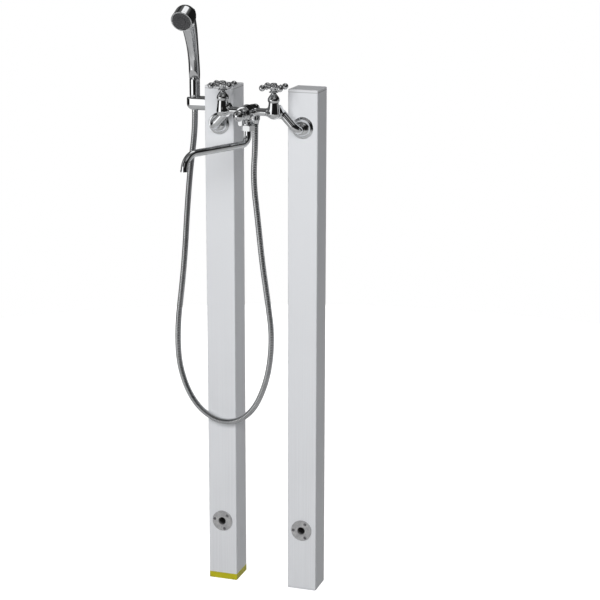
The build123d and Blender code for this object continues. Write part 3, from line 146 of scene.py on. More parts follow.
class Tree:
    """The nodes of a material, of the studio or of a shape."""

    def __init__(self, tree):
        self.tree = tree

    def plug(self, socket, value):
        """Links a socket to a value, or sets a plain number, colour or material."""
        if isinstance(value, Value):
            self.tree.links.new(value.socket, socket)
        elif socket.type == "RGBA":
            socket.default_value = (*value, 1.0)
        else:
            socket.default_value = value

    def node(self, kind, settings=None, *values, out=None, **named):
        """A node: its settings, its sockets in order or by name, and the output to use."""
        made = self.tree.nodes.new(kind)
        for key, value in (settings or {}).items():
            setattr(made, key, value)
        sockets = [s for s in made.inputs if s.enabled]
        for socket, value in zip(sockets, values):
            self.plug(socket, value)
        for key, value in named.items():
            self.plug(next(s for s in sockets if s.name == key.replace("_", " ")), value)
        output = made.outputs[out] if out else next(s for s in made.outputs if s.enabled)
        return Value(self, output)

    def maths(self, operation, *values):
        """One step of arithmetic."""
        return self.node("ShaderNodeMath", {"operation": operation}, *values)

    def parts(self, vector):
        """The three parts of a vector."""
        x = self.node("ShaderNodeSeparateXYZ", None, vector)
        return x, x.other("Y"), x.other("Z")


class Surface(Tree):
    """A material on the object's own coordinates, in metres."""

    def __init__(self, name):
        self.material = bpy.data.materials.new(name)
        self.material.use_nodes = True
        super().__init__(self.material.node_tree)
        self.shader = self.tree.nodes["Principled BSDF"]
        self.coord = self.node("ShaderNodeTexCoord", out="Object")

    def stretched(self, x, y, z):
        """The coordinates stretched along the axes."""
        return self.node("ShaderNodeMapping", None, Vector=self.coord, Scale=(x, y, z))

    def noise(self, scale, detail=2.0, rough=0.5, vector=None):
        """Soft noise from 0 to 1."""
        grain = {"Scale": scale, "Detail": detail, "Roughness": rough}
        return self.node("ShaderNodeTexNoise", None, Vector=vector or self.coord, **grain)

    def spots(self, scale):
        """Distances to scattered points."""
        return self.node("ShaderNodeTexVoronoi", None, Vector=self.coord, Scale=scale)

    def mix(self, share, a, b):
        """A colour between two colours."""
        return self.node("ShaderNodeMix", {"data_type": "RGBA"}, share, a, b)

    def finish(self, relief=None, strength=0.2, height=0.1 * MM, **values):
        """Sets the relief and the shader's inputs, named with underscores; gives the material."""
        if relief is not None:
            values["Normal"] = self.node(
                "ShaderNodeBump", None, Strength=strength, Distance=height, Height=relief
            )
        for key, value in values.items():
            self.plug(self.shader.inputs[key.replace("_", " ")], value)
        return self.material


class Shape(Tree):
    """Geometry Nodes that make a shape from a start, some named sizes and a material."""

    def __init__(self, name, sizes):
        super().__init__(bpy.data.node_groups.new(name, "GeometryNodeTree"))
        kinds = {
            label: "Int" if isinstance(size, int) else "Float" for label, size in sizes.items()
        }
        kinds = {"Start": "Geometry", **kinds, "Material": "Material"}
        sockets = self.tree.interface
        for label, kind in kinds.items():
            sockets.new_socket(label, in_out="INPUT", socket_type=f"NodeSocket{kind}")
        sockets.new_socket("Shape", in_out="OUTPUT", socket_type="NodeSocketGeometry")
        self.start = self.node("NodeGroupInput", None, out="Start")
        self.sizes = [self.start.other(label) for label in sizes]

    def circle(self, sides, radius):
        """A round curve."""
        mode = {"mode": "RADIUS"}
        return self.node(
            "GeometryNodeCurvePrimitiveCircle", mode, Resolution=sides, Radius=radius
        )

    def finish(self, geometry):
        """Gives the shape smooth shading and its material, and returns its group."""
        geometry = self.node("GeometryNodeRealizeInstances", None, geometry)
        geometry = self.node("GeometryNodeSetShadeSmooth", None, geometry)
        material = self.start.other("Material")
        geometry = self.node(
            "GeometryNodeSetMaterial", None, Geometry=geometry, Material=material
        )
        self.plug(self.tree.nodes.new("NodeGroupOutput").inputs["Shape"], geometry)
        return self.tree


def grown(name, holder, group, sizes, material):
    """The plain mesh object that a shape's nodes make from a start object."""
    change = holder.modifiers.new("shape", "NODES")
    change.node_group = group
    given = {**sizes, "Material": material}
    for item in group.interface.items_tree:
        if item.name in given:
            change[item.identifier] = given[item.name]
    ready = holder.evaluated_get(bpy.context.evaluated_depsgraph_get())
    mesh = bpy.data.meshes.new_from_object(ready)
    mesh.name = name
    holder.modifiers.remove(change)
    return placed(name, mesh)


# Finishes

CAP_JOINT_HEIGHT = 1.1937
INLET_ACROSS, INLET_HEIGHT, INLET_BORE = 0.1, 0.15, 0.0096
# Depths into the inlets' bores over which painted shade turns them nearly black
BORE_SHADE_FROM, BORE_SHADE_TO = -0.038, -0.026
# The posts' colour at the ground, darkened there as painted shade
POST_BOTTOM_PAINTED_SHADE = (0.70, 0.71, 0.735)


def shaded(colour, share):
    """A darker or lighter shade of a colour."""
    return tuple(share * c for c in colour)


def polished_chrome(name, tint=(0.74, 0.75, 0.76), rough=0.04, wave=0.12):
    """Polished chrome plate: faint casting waves, dried drops and fine wiping marks."""
    s = Surface(name)
    patches = s.noise(38.0, 3.0)
    drops = s.spots(260.0).fit(0.0, 0.16, 1.0, 0.0) * patches.fit(0.5, 0.75)
    marks = s.noise(90.0, 4.0, 0.6, s.stretched(1.0, 1.0, 7.0)).fit(0.45, 0.8)
    return s.finish(
        relief=s.noise(46.0, 1.0),
        strength=wave,
        height=0.4 * MM,
        Base_Color=s.mix(patches.fit(0.35, 0.8, 0.0, 0.35), tint, shaded(tint, 0.9)),
        Metallic=1.0,
        Roughness=rough + drops * 0.14 + marks * 0.04,
    )


def wound_hose(name):
    """The hose's polished strip, painted near black as shade in the groove between its turns, and
    duller there.
    """
    s = Surface(name)
    groove = s.node("ShaderNodeAttribute", {"attribute_name": "groove"}, out="Fac")
    # Painted shade: near black in the groove between the turns, which is also made rougher
    painted_groove_shade = groove.fit(0.4, 1.0)
    cloud = s.noise(40.0, 3.0)
    bright = s.mix(cloud.fit(0.3, 0.7), (0.66, 0.67, 0.68), (0.58, 0.59, 0.60))
    return s.finish(
        Base_Color=s.mix(painted_groove_shade, bright, (0.02, 0.02, 0.02)),
        Metallic=1.0,
        Roughness=0.13 + cloud.fit(0.4, 0.8) * 0.06 + painted_groove_shade * 0.3,
    )


def satin_silver(name, colour, bottom_painted_shade):
    """Satin silver: fine lengthwise lines, soft clouds, darker at the joint, painted shade by the
    ground.
    """
    s = Surface(name)
    lines = s.noise(900.0, 3.0, 0.6, s.stretched(1.0, 1.0, 0.004))
    broad = s.noise(160.0, 2.0, 0.5, s.stretched(1.0, 1.0, 0.01))
    cloud = s.noise(5.0, 3.0).fit(0.3, 0.7)
    z = s.parts(s.coord)[2]
    # Painted shade: the colour darkens from the top down to the ground
    plain = s.mix(z.fit(0.0, 1.15), bottom_painted_shade, colour)
    tone = lines.fit(0.3, 0.7, 0.0, 0.6) + cloud * 0.4
    joint = abs(z - CAP_JOINT_HEIGHT).fit(0.4 * MM, 1.1 * MM, 0.55, 0.0)
    metal = s.mix(tone, plain, shaded(colour, 0.98))
    return s.finish(
        relief=lines,
        strength=0.012,
        Base_Color=s.mix(joint, metal, shaded(bottom_painted_shade, 0.3)),
        Metallic=0.0,
        Roughness=broad.fit(0.3, 0.7, 0.50, 0.58) + cloud * 0.05,
    )


def dull_nickel(name):
    """Dull nickel plate on the bottom inlets, painted nearly black as shade inside their mouths."""
    s = Surface(name)
    grain = s.noise(1100.0, 3.0, 0.6)
    cloud = s.noise(120.0, 3.0).fit(0.3, 0.7)
    x, y, z = s.parts(s.coord)
    off_axis = ((abs(x) - INLET_ACROSS) ** 2.0 + (z - INLET_HEIGHT) ** 2.0) ** 0.5
    in_bore = off_axis.fit(INLET_BORE - 0.2 * MM, INLET_BORE + 0.2 * MM, 1.0, 0.0)
    plate = s.mix(cloud, (0.56, 0.56, 0.56), (0.42, 0.42, 0.43))
    # Painted shade: nearly black deep inside each bore
    dark = in_bore * y.fit(BORE_SHADE_FROM, BORE_SHADE_TO)
    return s.finish(
        relief=grain,
        Base_Color=s.mix(dark, plate, (0.03, 0.03, 0.03)),
        Metallic=0.45,
        Roughness=grain.fit(0.3, 0.7, 0.26, 0.40),
    )


def turned_metal(name, tint):
    """Machined brass or drawn copper with fine turning lines and a slight tarnish."""
    s = Surface(name)
    lines = s.noise(1400.0, 2.0, 0.5, s.stretched(0.05, 0.05, 1.0))
    tarnish = s.noise(60.0, 4.0, 0.6).fit(0.4, 0.75)
    return s.finish(
        relief=lines,
        strength=0.15,
        Base_Color=s.mix(tarnish, tint, shaded(tint, 0.55)),
        Metallic=1.0,
        Roughness=lines.fit(0.3, 0.7, 0.22, 0.36),
    )


def sealing_rubber(name):
    """Black sealing rubber with a fine matt grain."""
    s = Surface(name)
    grain = s.noise(2600.0, 2.0)
    dust = s.noise(300.0, 3.0).fit(0.4, 0.8)
    return s.finish(
        relief=grain,
        strength=0.3,
        Base_Color=s.mix(dust, (0.012, 0.012, 0.013), (0.03, 0.03, 0.03)),
        Roughness=grain.fit(0.3, 0.7, 0.6, 0.8),
    )


def moulded_plastic(name, colour):
    """Moulded plastic or soft rubber with a fine leathery grain and a little dust."""
    s = Surface(name)
    grain = s.noise(1500.0, 3.0, 0.55)
    cloud = s.noise(45.0, 3.0).fit(0.3, 0.75)
    return s.finish(
        relief=grain,
        Base_Color=s.mix(cloud, colour, shaded(colour, 0.8)),
        Roughness=grain.fit(0.3, 0.7, 0.32, 0.46),
    )


def yellow_paint(name):
    """Yellow marking band with a faint orange-peel skin and scuffs near the ground."""
    s = Surface(name)
    peel = s.noise(700.0, 2.0)
    z = s.parts(s.coord)[2]
    scuff = z.fit(0.0, 6.0 * MM, 1.0, 0.0) * s.noise(260.0, 4.0).fit(0.5, 0.7)
    cloud = s.noise(50.0, 3.0).fit(0.3, 0.7)
    paint = s.mix(cloud, (0.56, 0.52, 0.012), (0.49, 0.45, 0.010))
    return s.finish(
        relief=peel,
        height=0.2 * MM,
        Base_Color=s.mix(scuff, paint, (0.20, 0.18, 0.06)),
        Roughness=peel.fit(0.3, 0.7, 0.34, 0.46),
    )


CHROME = polished_chrome("chrome")
NOZZLE_RUBBER = moulded_plastic("grey_nozzle_rubber", (0.15, 0.15, 0.155))
MATERIALS = {
    "post": satin_silver("satin_silver_post", (0.80, 0.815, 0.84), POST_BOTTOM_PAINTED_SHADE),
    "post_cap": satin_silver("satin_silver_cap", (0.78, 0.79, 0.81), POST_BOTTOM_PAINTED_SHADE),
    # The foot carries on the posts' painted shade and is darker still, as painted shade by the
    # ground
    "foot_plug": satin_silver("satin_silver_foot", POST_BOTTOM_PAINTED_SHADE, (0.66, 0.67, 0.70)),
    "foot_band": yellow_paint("yellow_band"),
    "inlet_fitting": dull_nickel("dull_nickel"),
    "screw": polished_chrome("plated_screw", (0.30, 0.30, 0.31), 0.22),
    "riser": turned_metal("copper_pipe", (0.75, 0.38, 0.24)),
    "brass": turned_metal("bare_brass", (0.72, 0.52, 0.24)),
    "rubber": sealing_rubber("sealing_rubber"),
    "spray_plate": moulded_plastic("grey_spray_plate", (0.05, 0.05, 0.053)),
    "hose": wound_hose("hose_metal"),
    "chrome": CHROME,
}

for entry in frame["record"]["subparts"]:
    shown = frame["nodes"][entry["node"]]
    shown.data.materials.clear()
    shown.data.materials.append(MATERIALS[entry["material_slot"]])


# Hose

HOSE_POINTS = (
    (0.0, -70.0, 1122.0),
    (0.0, -70.0, 1076.0),
    (-7.0, -66.5, 997.0),
    (4.0, -66.0, 900.0),
    (13.5, -65.5, 805.0),
    (26.5, -64.5, 715.0),
    (38.0, -64.0, 622.0),
    (24.5, -63.0, 519.0),
    (-17.0, -62.0, 431.5),
    (-86.0, -61.5, 403.0),
    (-157.0, -61.0, 442.0),
    (-196.5, -60.5, 530.0),
    (-200.0, -59.0, 633.0),
    (-191.0, -49.5, 725.0),
    (-186.0, -39.0, 811.0),
    (-184.0, -28.0, 905.0),
    (-179.0, -16.5, 1006.0),
    (-172.5, 0.0, 1091.0),
    (-172.5, 0.0, 1138.0),
)
HOSE_RADIUS = 6.75 * MM
HOSE_SIZES = {
    "Radius": HOSE_RADIUS,
    "Groove Depth": 0.3 * MM,
    "Strip Pitch": 3.9 * MM,
    "Steps In A Turn": 8,
    "Sides": 24,
}
PLAIN_TURNS = 2.0


def route_curve(points):
    """A smooth curve that has these as its control points."""
    data = bpy.data.curves.new("hose_route", "CURVE")
    data.dimensions = "3D"
    data.resolution_u = 48
    spline = data.splines.new("NURBS")
    spline.points.add(len(points) - 1)
    for point, place in zip(spline.points, points):
        point.co = (*(c * MM for c in place), 1.0)
    spline.order_u = 3
    spline.use_endpoint_u = True
    return placed("hose_route", data)


def strip_wound_nodes():
    """Nodes that sweep a tube along a curve and press one groove round it, as in a wound strip."""
    t = Shape("strip_wound_hose", HOSE_SIZES)
    radius, groove, pitch, steps, sides = t.sizes
    float_kind = {"data_type": "FLOAT"}

    def named(geometry, label, value):
        """Keeps a number on each point under a name."""
        kind = {**float_kind, "domain": "POINT"}
        kept = {"Geometry": geometry, "Name": label, "Value": value}
        return t.node("GeometryNodeStoreNamedAttribute", kind, **kept)

    def recalled(label):
        """Reads a kept number."""
        return t.node("GeometryNodeInputNamedAttribute", float_kind, label)

    whole = t.node("GeometryNodeCurveLength", None, t.start)
    line = t.node(
        "GeometryNodeResampleCurve", {"mode": "LENGTH"}, Curve=t.start, Length=pitch / steps
    )
    line = named(line, "along", t.node("GeometryNodeSplineParameter", None, out="Length"))
    outline = t.circle(sides, radius)
    outline = named(outline, "around", t.node("GeometryNodeSplineParameter", None, out="Factor"))
    tube = t.node(
        "GeometryNodeCurveToMesh", None, Curve=line, Profile_Curve=outline, Fill_Caps=True
    )
    along = recalled("along")
    winding = (along / pitch + recalled("around")) * math.pi
    ridge = t.maths("SINE", winding)
    near_end = along.smaller(whole - along) / (pitch * PLAIN_TURNS)
    depth = (1.0 - ridge * ridge) ** 3.0 * near_end.smaller(1.0)
    tube = named(tube, "groove", depth)
    normal = t.node("GeometryNodeInputNormal")
    inward = t.node("ShaderNodeVectorMath", {"operation": "SCALE"}, normal, Scale=-(depth * groove))
    return t.finish(t.node("GeometryNodeSetPosition", None, Geometry=tube, Offset=inward))


def centre_line(holder):
    """Points along a curve, in metres."""
    mesh = bpy.data.meshes.new_from_object(holder)
    line = np.array([v.co[:] for v in mesh.vertices])
    bpy.data.meshes.remove(mesh)
    return line


route = route_curve(HOSE_POINTS)
hose_line = centre_line(route)
hose = grown("shower_hose_wound", route, strip_wound_nodes(), HOSE_SIZES, MATERIALS["hose"])
bpy.data.objects.remove(route)
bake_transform(hose)
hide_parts("shower_hose")


# Castings, each a smooth skin on a distance field, in millimetres

ACROSS = np.array((1.0, 0.0, 0.0))
BACK = np.array((0.0, 1.0, 0.0))
UP = np.array((0.0, 0.0, 1.0))
PULLS = 5
SMALLEST_LEAN = 0.05
LONGEST_PULL = 0.4


def rounded_join(a, b, fillet):
    """The union of two fields with a fillet where they meet."""
    share = np.clip(0.5 + 0.5 * (b - a) / fillet, 0.0, 1.0)
    return b + (a - b) * share - fillet * share * (1.0 - share)


def ball(p, centre, radius):
    """Distance to a ball."""
    return np.linalg.norm(p - centre, axis=-1) - radius


def round_bar(p, start, end, radius, end_radius=None):
    """Distance to a bar with ball ends, of one radius or tapering."""
    end_radius = radius if end_radius is None else end_radius
    way = end - start
    share = np.clip((p - start) @ way / way.dot(way), 0.0, 1.0)
    gap = np.linalg.norm(p - start - share[..., None] * way, axis=-1)
    return gap - (radius + (end_radius - radius) * share)


def about_axis(p, centre, way):
    """How far points lie along an axis from its centre, and how far out from it."""
    offset = p - centre
    along = offset @ way
    return along, np.linalg.norm(offset - along[..., None] * way, axis=-1)


def disc(p, centre, way, radius, low, high, edge=0.3):
    """Distance to a disc or rod about an axis, between two places on it, with rounded edges."""
    along, out = about_axis(p, centre, way)
    x = out - radius + edge
    y = np.abs(along - (low + high) / 2) - (high - low) / 2 + edge
    outside = np.hypot(np.maximum(x, 0.0), np.maximum(y, 0.0))
    return np.minimum(np.maximum(x, y), 0.0) + outside - edge


def cut_away(field, *tools):
    """A field with others cut out of it."""
    for tool in tools:
        field = np.maximum(field, -tool)
    return field


def slope(field, p, reach=0.02):
    """The field's gradient at some points."""
    parts = []
    for axis in (ACROSS, BACK, UP):
        step = reach * axis
        parts.append((field(p + step) - field(p - step)) / (2 * reach))
    return np.stack(parts, axis=-1)


def surface_net(field, low, high, step):
    """A point in each grid cell that the field's zero surface crosses, and the faces between."""
    axes = [np.arange(a - 2 * step, b + 2.01 * step, step) for a, b in zip(low, high)]
    grid = np.stack(np.meshgrid(*axes, indexing="ij"), axis=-1)
    values = field(grid)
    inside = values < 0
    n = [len(a) - 1 for a in axes]
    corners = [(i, j, k) for i in (0, 1) for j in (0, 1) for k in (0, 1)]

    def corner(array, c):
        """The grid's values at one corner of every cell."""
        return array[c[0]:c[0] + n[0], c[1]:c[1] + n[1], c[2]:c[2] + n[2]]

    count = sum(corner(inside, c).astype(int) for c in corners)
    mixed = (count > 0) & (count < len(corners))
    total = np.zeros(mixed.shape + (3,))
    hits = np.zeros(mixed.shape)
    for c in corners:
        for k in range(3):
            if c[k]:
                continue
            d = tuple(1 if m == k else c[m] for m in range(3))
            a, b = corner(values, c), corner(values, d)
            crossed = (a < 0) != (b < 0)
            share = np.where(crossed, a / np.where(crossed, a - b, 1.0), 0.0)
            place = np.array(c, float) + share[..., None] * (np.array(d) - np.array(c))
            total += np.where(crossed[..., None], place, 0.0)
            hits += crossed
    index = -np.ones(mixed.shape, int)
    index[mixed] = np.arange(mixed.sum())
    start = np.stack([a[:-1][i] for a, i in zip(axes, np.nonzero(mixed))], axis=-1)
    points = start + step * total[mixed] / hits[mixed][:, None]
    faces = []
    for k in range(3):
        u, v = (k + 1) % 3, (k + 2) % 3
        low_end = [slice(1, -1)] * 3
        low_end[k] = slice(0, -1)
        high_end = list(low_end)
        high_end[k] = slice(1, None)
        a, b = inside[tuple(low_end)], inside[tuple(high_end)]
        places = np.stack(np.nonzero(a != b), axis=-1)
        outward = a[tuple(places.T)]
        base = places + np.array([0 if m == k else 1 for m in range(3)])
        quad = []
        for du, dv in ((-1, -1), (0, -1), (0, 0), (-1, 0)):
            cell = base.copy()
            cell[:, u] += du
            cell[:, v] += dv
            quad.append(index[tuple(cell.T)])
        quad = np.stack(quad, axis=1)
        faces.append(np.where(outward[:, None], quad, quad[:, ::-1]))
    return points, np.concatenate(faces)


def drawn_onto(field, points, step):
    """The points pulled along the field's gradient onto its zero surface."""
    for _ in range(PULLS):
        lean = slope(field, points)
        steepness = np.maximum((lean * lean).sum(1), SMALLEST_LEAN)
        move = -field(points)[:, None] * lean / steepness[:, None]
        size = np.linalg.norm(move, axis=1)[:, None]
        points = points + move * np.minimum(1.0, LONGEST_PULL * step / np.maximum(size, 1e-9))
    return points


def made_piece(name, points, faces, material, body):
    """A smooth piece that rides on a body, from points in millimetres."""
    mesh = bpy.data.meshes.new(name)
    mesh.from_pydata([tuple(p) for p in points * MM], [], [tuple(f) for f in faces])
    mesh.polygons.foreach_set("use_smooth", [True] * len(mesh.polygons))
    mesh.materials.append(material)
    piece = placed(name, mesh)
    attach(piece, body)
    return piece


def skin(name, field, low, high, step, material, body):
    """A closed skin on the field's zero surface, with its normals taken from the field."""
    points, faces = surface_net(field, low, high, step)
    points = drawn_onto(field, points, step)
    piece = made_piece(name, points, faces, material, body)
    normals = slope(field, points)
    normals /= np.maximum(np.linalg.norm(normals, axis=1), 1e-9)[:, None]
    piece.data.normals_split_custom_set_from_vertices([tuple(v) for v in normals])
    return piece


MIXER = np.array((0.0, -116.5, 1157.0))
VALVE = MIXER + 60.0 * ACROSS
RIM_Z = 1181.0


def mixer_field(p):
    """The mixer's casting: valves, arms, barrel, neck and union bosses, with its bores."""
    z = p[..., 2]
    q = np.stack((np.abs(p[..., 0]), p[..., 1], z), axis=-1)
    arm = round_bar(q, MIXER + 1.5 * UP, VALVE - 4.0 * ACROSS + 1.5 * UP, 8.5)
    valve = round_bar(q, VALVE + 0.2 * UP, VALVE + 24.0 * UP, 13.9, 11.2)
    body = rounded_join(arm, valve, 7.0)
    body = rounded_join(body, disc(q, VALVE, BACK, 12.8, 0, 18.5, 0.5), 2.0)
    drum = disc(q, MIXER, BACK, 17.0, -33.5, -4.0, 1.0)
    cone = round_bar(q, MIXER - 5.5 * BACK, MIXER + 26.5 * BACK, 15.6, 13.0)
    barrel = rounded_join(drum, cone, 6.0)
    barrel = rounded_join(barrel, disc(q, MIXER, BACK, 13.0, 10.0, 35.6, 0.6), 3.0)
    body = rounded_join(body, barrel, 6.0)
    throat = round_bar(q, MIXER - 7.0 * UP, MIXER - 23.0 * UP, 9.2, 8.6)
    neck = rounded_join(throat, disc(q, MIXER, UP, 13.5, -28.0, -25.4, 0.5), 7.0)
    body = rounded_join(body, neck, 5.0)
    body = np.minimum(body, disc(q, MIXER, UP, 12.0, -37.0, -26.0))
    body = np.maximum(body, z - RIM_Z)
    return cut_away(
        body,
        disc(q, VALVE, UP, 9.4, 1.0, 33.0),
        disc(q, VALVE, BACK, 6.5, 12, 30),
        disc(q, MIXER, BACK, 9.0, -40, 14),
        disc(q, MIXER, UP, 9.3, -42, -23),
    )


mixer = skin(
    "mixer_casting", mixer_field, (-76, -152, 1118), (76, -79, 1183), 1.0, CHROME, "standpipe"
)
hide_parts("mixer_body")

GRIP_BEND = 282.0
GRIP_START = np.array((-172.5, 0.0, 1208.0))
GRIP_HEIGHTS = (0, 34, 68, 91, 112, 130, 150)
GRIP_RADII = (12.4, 12.8, 13.3, 14.6, 16.3, 17.4, 17.6)
GRIP_SHAPE = np.polyfit(GRIP_HEIGHTS, GRIP_RADII, 4)
GRIP_OVER_HEAD = 4.0
HEAD_CENTRE = np.array((-172.5, -76.0, 1345.0))
HEAD_TILT = math.radians(27)
HEAD_WAY = np.array((0.0, math.cos(HEAD_TILT), math.sin(HEAD_TILT)))
HEAD_UP = np.array((0.0, -math.sin(HEAD_TILT), math.cos(HEAD_TILT)))
HEAD_RADIUS = 24.4
HEAD_FRONT = 3.0
DOME_START, DOME_DEPTH = 27.0, 22.0


def hand_shower_field(p):
    """The hand shower: a grip that leans along a large arc and flows into a domed drum."""
    x, y, z = np.moveaxis(p - GRIP_START, -1, 0)
    y = y + GRIP_BEND
    height = np.clip(GRIP_BEND * np.sin(np.arctan2(z, y)), 0.0, GRIP_HEIGHTS[-1])
    grip = np.hypot(x, np.hypot(y, z) - GRIP_BEND) - np.polyval(GRIP_SHAPE, height)
    grip = np.maximum(grip, -z)
    grip = np.maximum(grip, (p - HEAD_CENTRE) @ HEAD_UP - GRIP_OVER_HEAD)
    depth, out = about_axis(p, HEAD_CENTRE, HEAD_WAY)
    over = np.maximum(depth - DOME_START, 0.0) * HEAD_RADIUS / DOME_DEPTH
    drum = np.hypot(out, over) - HEAD_RADIUS
    body = rounded_join(drum, grip, 9.0)
    body = np.maximum(body, HEAD_FRONT - depth)
    body = np.minimum(body, disc(p, GRIP_START, UP, 7.0, -11.95, 4.0))
    return cut_away(
        body,
        disc(p, HEAD_CENTRE, HEAD_WAY, 22.0, -5.0, 12.0),
        disc(p, GRIP_START, UP, 4.5, -18.0, 12.0),
    )


shower = skin(
    "hand_shower_casting",
    hand_shower_field,
    (-198, -90, 1195),
    (-147, 16, 1396),
    1.25,
    CHROME,
    "hand shower",
)
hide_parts("hand_shower")

RIM_TURNS = 96
RIM_PROFILE = (
    (23.4, 6.6), (23.4, 1.2), (23.4, 0.7), (23.5, 0.3), (23.75, 0.06), (24.05, 0.0),
    (24.35, 0.0), (24.65, 0.06), (24.9, 0.3), (25.0, 0.7), (25.0, 1.2), (25.0, 4.9),
    (25.0, 5.4), (24.88, 5.9), (24.6, 6.25), (24.3, 6.4), (24.0, 6.6),
)


def turned_ring(name, profile, turns, material, body):
    """A ring turned about the shower head's axis from an outline of radii and depths."""
    angles = np.arange(turns) * 2 * math.pi / turns
    other = np.cross(HEAD_WAY, ACROSS)
    out = np.cos(angles)[:, None] * ACROSS + np.sin(angles)[:, None] * other
    points = [HEAD_CENTRE + radius * out + depth * HEAD_WAY for radius, depth in profile]
    faces = []
    for k in range(len(profile)):
        a, b = k * turns, (k + 1) % len(profile) * turns
        for j in range(turns):
            beside = (j + 1) % turns
            faces.append((a + j, a + beside, b + beside, b + j))
    piece = made_piece(name, np.concatenate(points), faces, material, body)
    shape = bmesh.new()
    shape.from_mesh(piece.data)
    bmesh.ops.recalc_face_normals(shape, faces=shape.faces)
    shape.to_mesh(piece.data)
    shape.free()
    return piece


rim = turned_ring("spray_head_rim", RIM_PROFILE, RIM_TURNS, CHROME, "hand shower")

NOZZLE_CIRCLES = ((3.5, 4, 0.0), (7.5, 8, 0.0), (13.0, 14, 0.8), (18.0, 20, 0.8))
NOZZLE_SIZES = {"Lip Radius": 1.1 * MM, "Lip Thickness": 0.38 * MM}
LIP_SIDES, BEAD_SIDES = 12, 8


def nozzle_nodes(circles):
    """Nodes that set a soft raised lip round each hole, in circles of a radius, count and depth."""
    t = Shape("spray_nozzle_lips", NOZZLE_SIZES)
    lip_radius, lip_thickness = t.sizes
    ring = t.circle(LIP_SIDES, lip_radius)
    bead = t.circle(BEAD_SIDES, lip_thickness)
    lip = t.node("GeometryNodeCurveToMesh", None, Curve=ring, Profile_Curve=bead)
    all_lips = t.node("GeometryNodeJoinGeometry")
    joined = all_lips.socket.node.inputs[0]
    bare = {"fill_type": "NONE"}
    for radius, count, depth in circles:
        circle = t.node("GeometryNodeMeshCircle", bare, Vertices=count, Radius=radius * MM)
        sunk = (0.0, 0.0, depth * MM)
        circle = t.node("GeometryNodeTransform", None, Geometry=circle, Translation=sunk)
        t.plug(joined, t.node("GeometryNodeInstanceOnPoints", None, Points=circle, Instance=lip))
    facing = Matrix((ACROSS, np.cross(HEAD_WAY, ACROSS), HEAD_WAY)).transposed().to_euler()
    place = {"Translation": tuple(HEAD_CENTRE * MM), "Rotation": tuple(facing)}
    return t.finish(t.node("GeometryNodeTransform", None, Geometry=all_lips, **place))


holder = placed("spray_nozzle_lips", bpy.data.meshes.new("spray_nozzle_lips"))
lips = grown(
    "spray_nozzle_lips", holder, nozzle_nodes(NOZZLE_CIRCLES), NOZZLE_SIZES, NOZZLE_RUBBER
)
bpy.data.objects.remove(holder)
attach(lips, "hand shower")

HUB_FLATNESS = 1.15
HUB_LEVEL = 34.0
ARM_LEVEL = 33.5
ARM_COUNT = 4
FIRST_ARM = 48.0
NECK_END, ARM_END, BEAD_PLACE, BALL_PLACE = 18.0, 26.0, 17.8, 28.75
BEAD_RADIUS, BEAD_HALF = 4.9, 2.9
BALL_RADIUS = 7.1


def handle_field(p):
    """A cross handle about Z, from its valve's rim up: hub, skirt, four arms, beads and balls."""
    skirt = disc(p, 0 * UP, UP, 10.5, 22.0, 23.6, 0.7)
    hub = rounded_join(skirt, round_bar(p, 25.0 * UP, 29.0 * UP, 6.4, 6.6), 5.0)
    flat = p * (1, 1, HUB_FLATNESS)
    hub = rounded_join(hub, ball(flat, HUB_LEVEL * HUB_FLATNESS * UP, 9.6), 3.0)
    body = np.minimum(hub, disc(p, 0 * UP, UP, 7.9, HUB_LEVEL, 40.0, 0.8))
    start = ARM_LEVEL * UP
    for arm in range(ARM_COUNT):
        angle = math.radians(FIRST_ARM + 360.0 * arm / ARM_COUNT)
        way = np.array((math.cos(angle), math.sin(angle), 0.0))
        neck = round_bar(p, start, start + NECK_END * way, 3.5, 3.1)
        rod = round_bar(p, start + NECK_END * way, start + ARM_END * way, 3.0)
        body = rounded_join(body, rounded_join(neck, rod, 1.0), 2.5)
        along, out = about_axis(p, start + BEAD_PLACE * way, way)
        bead = (np.hypot(out / BEAD_RADIUS, along / BEAD_HALF) - 1.0) * BEAD_HALF
        body = rounded_join(body, bead, 0.9)
        body = rounded_join(body, ball(p, start + BALL_PLACE * way, BALL_RADIUS), 1.4)
    return cut_away(
        body,
        disc(p, 0 * UP, UP, 4.05, 15.0, 33.0),
        disc(p, 0 * UP, UP, 6.4, 35.0, 45.0),
        disc(p, 0 * UP, UP, 2.05, 30.0, 38.0),
    )


for side, x in (("left", -VALVE[0]), ("right", VALVE[0])):
    place = np.array((x, VALVE[1], RIM_Z))
    handle = skin(
        f"{side}_handle_casting",
        lambda p, place=place: handle_field(p - place),
        place + (-37, -37, 21),
        place + (37, 37, 42),
        0.7,
        CHROME,
        f"{side} handle",
    )
    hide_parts(f"{side}_handle")


# Studio

FLOOR_RADIUS = 2.6
FLOOR_SIDES = 96
FLOOR_SEEN, FLOOR_MIRRORED = 0.88, 0.14
# Each screen's direction across and half width, its rise and half height, in degrees, and its light
SCREENS = (
    (-40.0, 18.0, -2.5, 10.0, 1.5),
    (165.0, 38.0, 76.0, 16.0, 1.25),
    (-27.0, 42.0, -33.0, 17.0, 0.45),
    (108.0, 7.0, -14.0, 18.0, 0.4),
    (-76.0, 20.0, 22.0, 14.0, 0.42),
    (38.0, 24.0, 48.0, 9.0, 0.36),
    (-4.0, 12.0, 20.0, 9.0, 0.3),
    (-150.0, 12.0, 2.0, 26.0, 0.12),
)
SCREEN_EDGE = 7.0
SCREEN_CLOUDS = (0.3, 0.7, 0.8, 1.1)
# Between two rises, in degrees, the room's light goes from one strength to the other
LIGHT_BELOW = (-42.0, -8.0, 0.46, 0.012)
LIGHT_ABOVE = (34.0, 56.0, 0.0, 0.13)
ROOM_LIGHT = 0.09
LAMP_TARGET = (0, 0, 0.8)
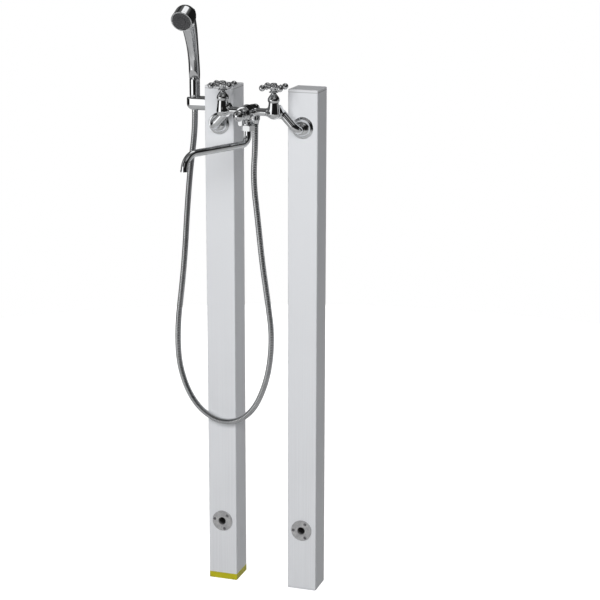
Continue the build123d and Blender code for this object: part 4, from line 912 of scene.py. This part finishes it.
# Each lamp's name, place, width, height and power
LAMPS = (
    ("key", (0.8, -4.25, 2.4), 2.3, 2.0, 172),
    ("back", (0.4, 3.6, 1.9), 1.6, 1.6, 105),
    ("left_fill", (-3.6, 0.2, 1.6), 1.6, 1.6, 26),
)


def seen_and_mirrored(t):
    """Whether a ray comes from the camera, and whether it comes from metal or glass."""
    seen = t.node("ShaderNodeLightPath", out="Is Camera Ray")
    return seen, seen.other("Is Glossy Ray").larger(seen.other("Is Transmission Ray"))


def make_floor():
    """A round pale floor that the camera sees nearly white and that takes the object's shadow."""
    turns = [2 * math.pi * k / FLOOR_SIDES for k in range(FLOOR_SIDES)]
    edge = [(FLOOR_RADIUS * math.cos(a), FLOOR_RADIUS * math.sin(a), 0.0) for a in turns]
    mesh = bpy.data.meshes.new("floor")
    mesh.from_pydata(edge, [], [tuple(range(FLOOR_SIDES))])
    floor = placed("floor", mesh)
    s = Surface("pale_floor")
    seen, mirrored = seen_and_mirrored(s)
    mesh.materials.append(
        s.finish(
            Base_Color=(0.45, 0.45, 0.45),
            Roughness=0.9,
            Emission_Color=(1.0, 1.0, 1.0),
            Emission_Strength=seen * FLOOR_SEEN + mirrored * FLOOR_MIRRORED,
        )
    )


def make_studio():
    """White for the camera, and for the metal a dark room with soft white screens."""
    world = bpy.data.worlds.new("studio")
    world.use_nodes = True
    t = Tree(world.node_tree)
    x, y, z = t.parts(t.node("ShaderNodeTexCoord", out="Generated"))
    degree = 180 / math.pi
    turn = t.maths("ARCTAN2", x, -y) * degree
    rise = t.maths("ARCSINE", z) * degree
    light = rise.fit(*LIGHT_BELOW) + rise.fit(*LIGHT_ABOVE)
    cloud = t.node("ShaderNodeTexNoise", None, Scale=1.7, Detail=2.0)
    unevenness = cloud.fit(*SCREEN_CLOUDS)
    for across, half_width, up, half_height, strength in SCREENS:
        apart = t.maths("WRAP", turn - across, 180.0, -180.0)
        beside = abs(apart).fit(half_width, half_width + SCREEN_EDGE, 1.0, 0.0)
        above = abs(rise - up).fit(half_height, half_height + SCREEN_EDGE, 1.0, 0.0)
        light = light + beside * above * unevenness * strength
    seen, mirrored = seen_and_mirrored(t)
    spread = (1.0 - mirrored) * ROOM_LIGHT
    backdrop = world.node_tree.nodes["Background"]
    t.plug(backdrop.inputs["Color"], (1.0, 1.0, 1.0))
    t.plug(backdrop.inputs["Strength"], seen.larger(light * mirrored + spread))
    bpy.context.scene.world = world


def add_lamp(name, place, width, height, power):
    """A soft rectangular lamp aimed at the object, which the metal doesn't mirror."""
    data = bpy.data.lights.new(name, "AREA")
    data.shape = "RECTANGLE"
    data.size = width
    data.size_y = height
    data.energy = power
    lamp = placed(name, data)
    lamp.location = place
    aim = Vector(LAMP_TARGET) - Vector(place)
    lamp.rotation_euler = aim.to_track_quat("-Z", "Y").to_euler()
    lamp.visible_glossy = False


make_floor()
make_studio()
for lamp_values in LAMPS:
    add_lamp(*lamp_values)
bpy.context.scene.view_settings.view_transform = "Standard"
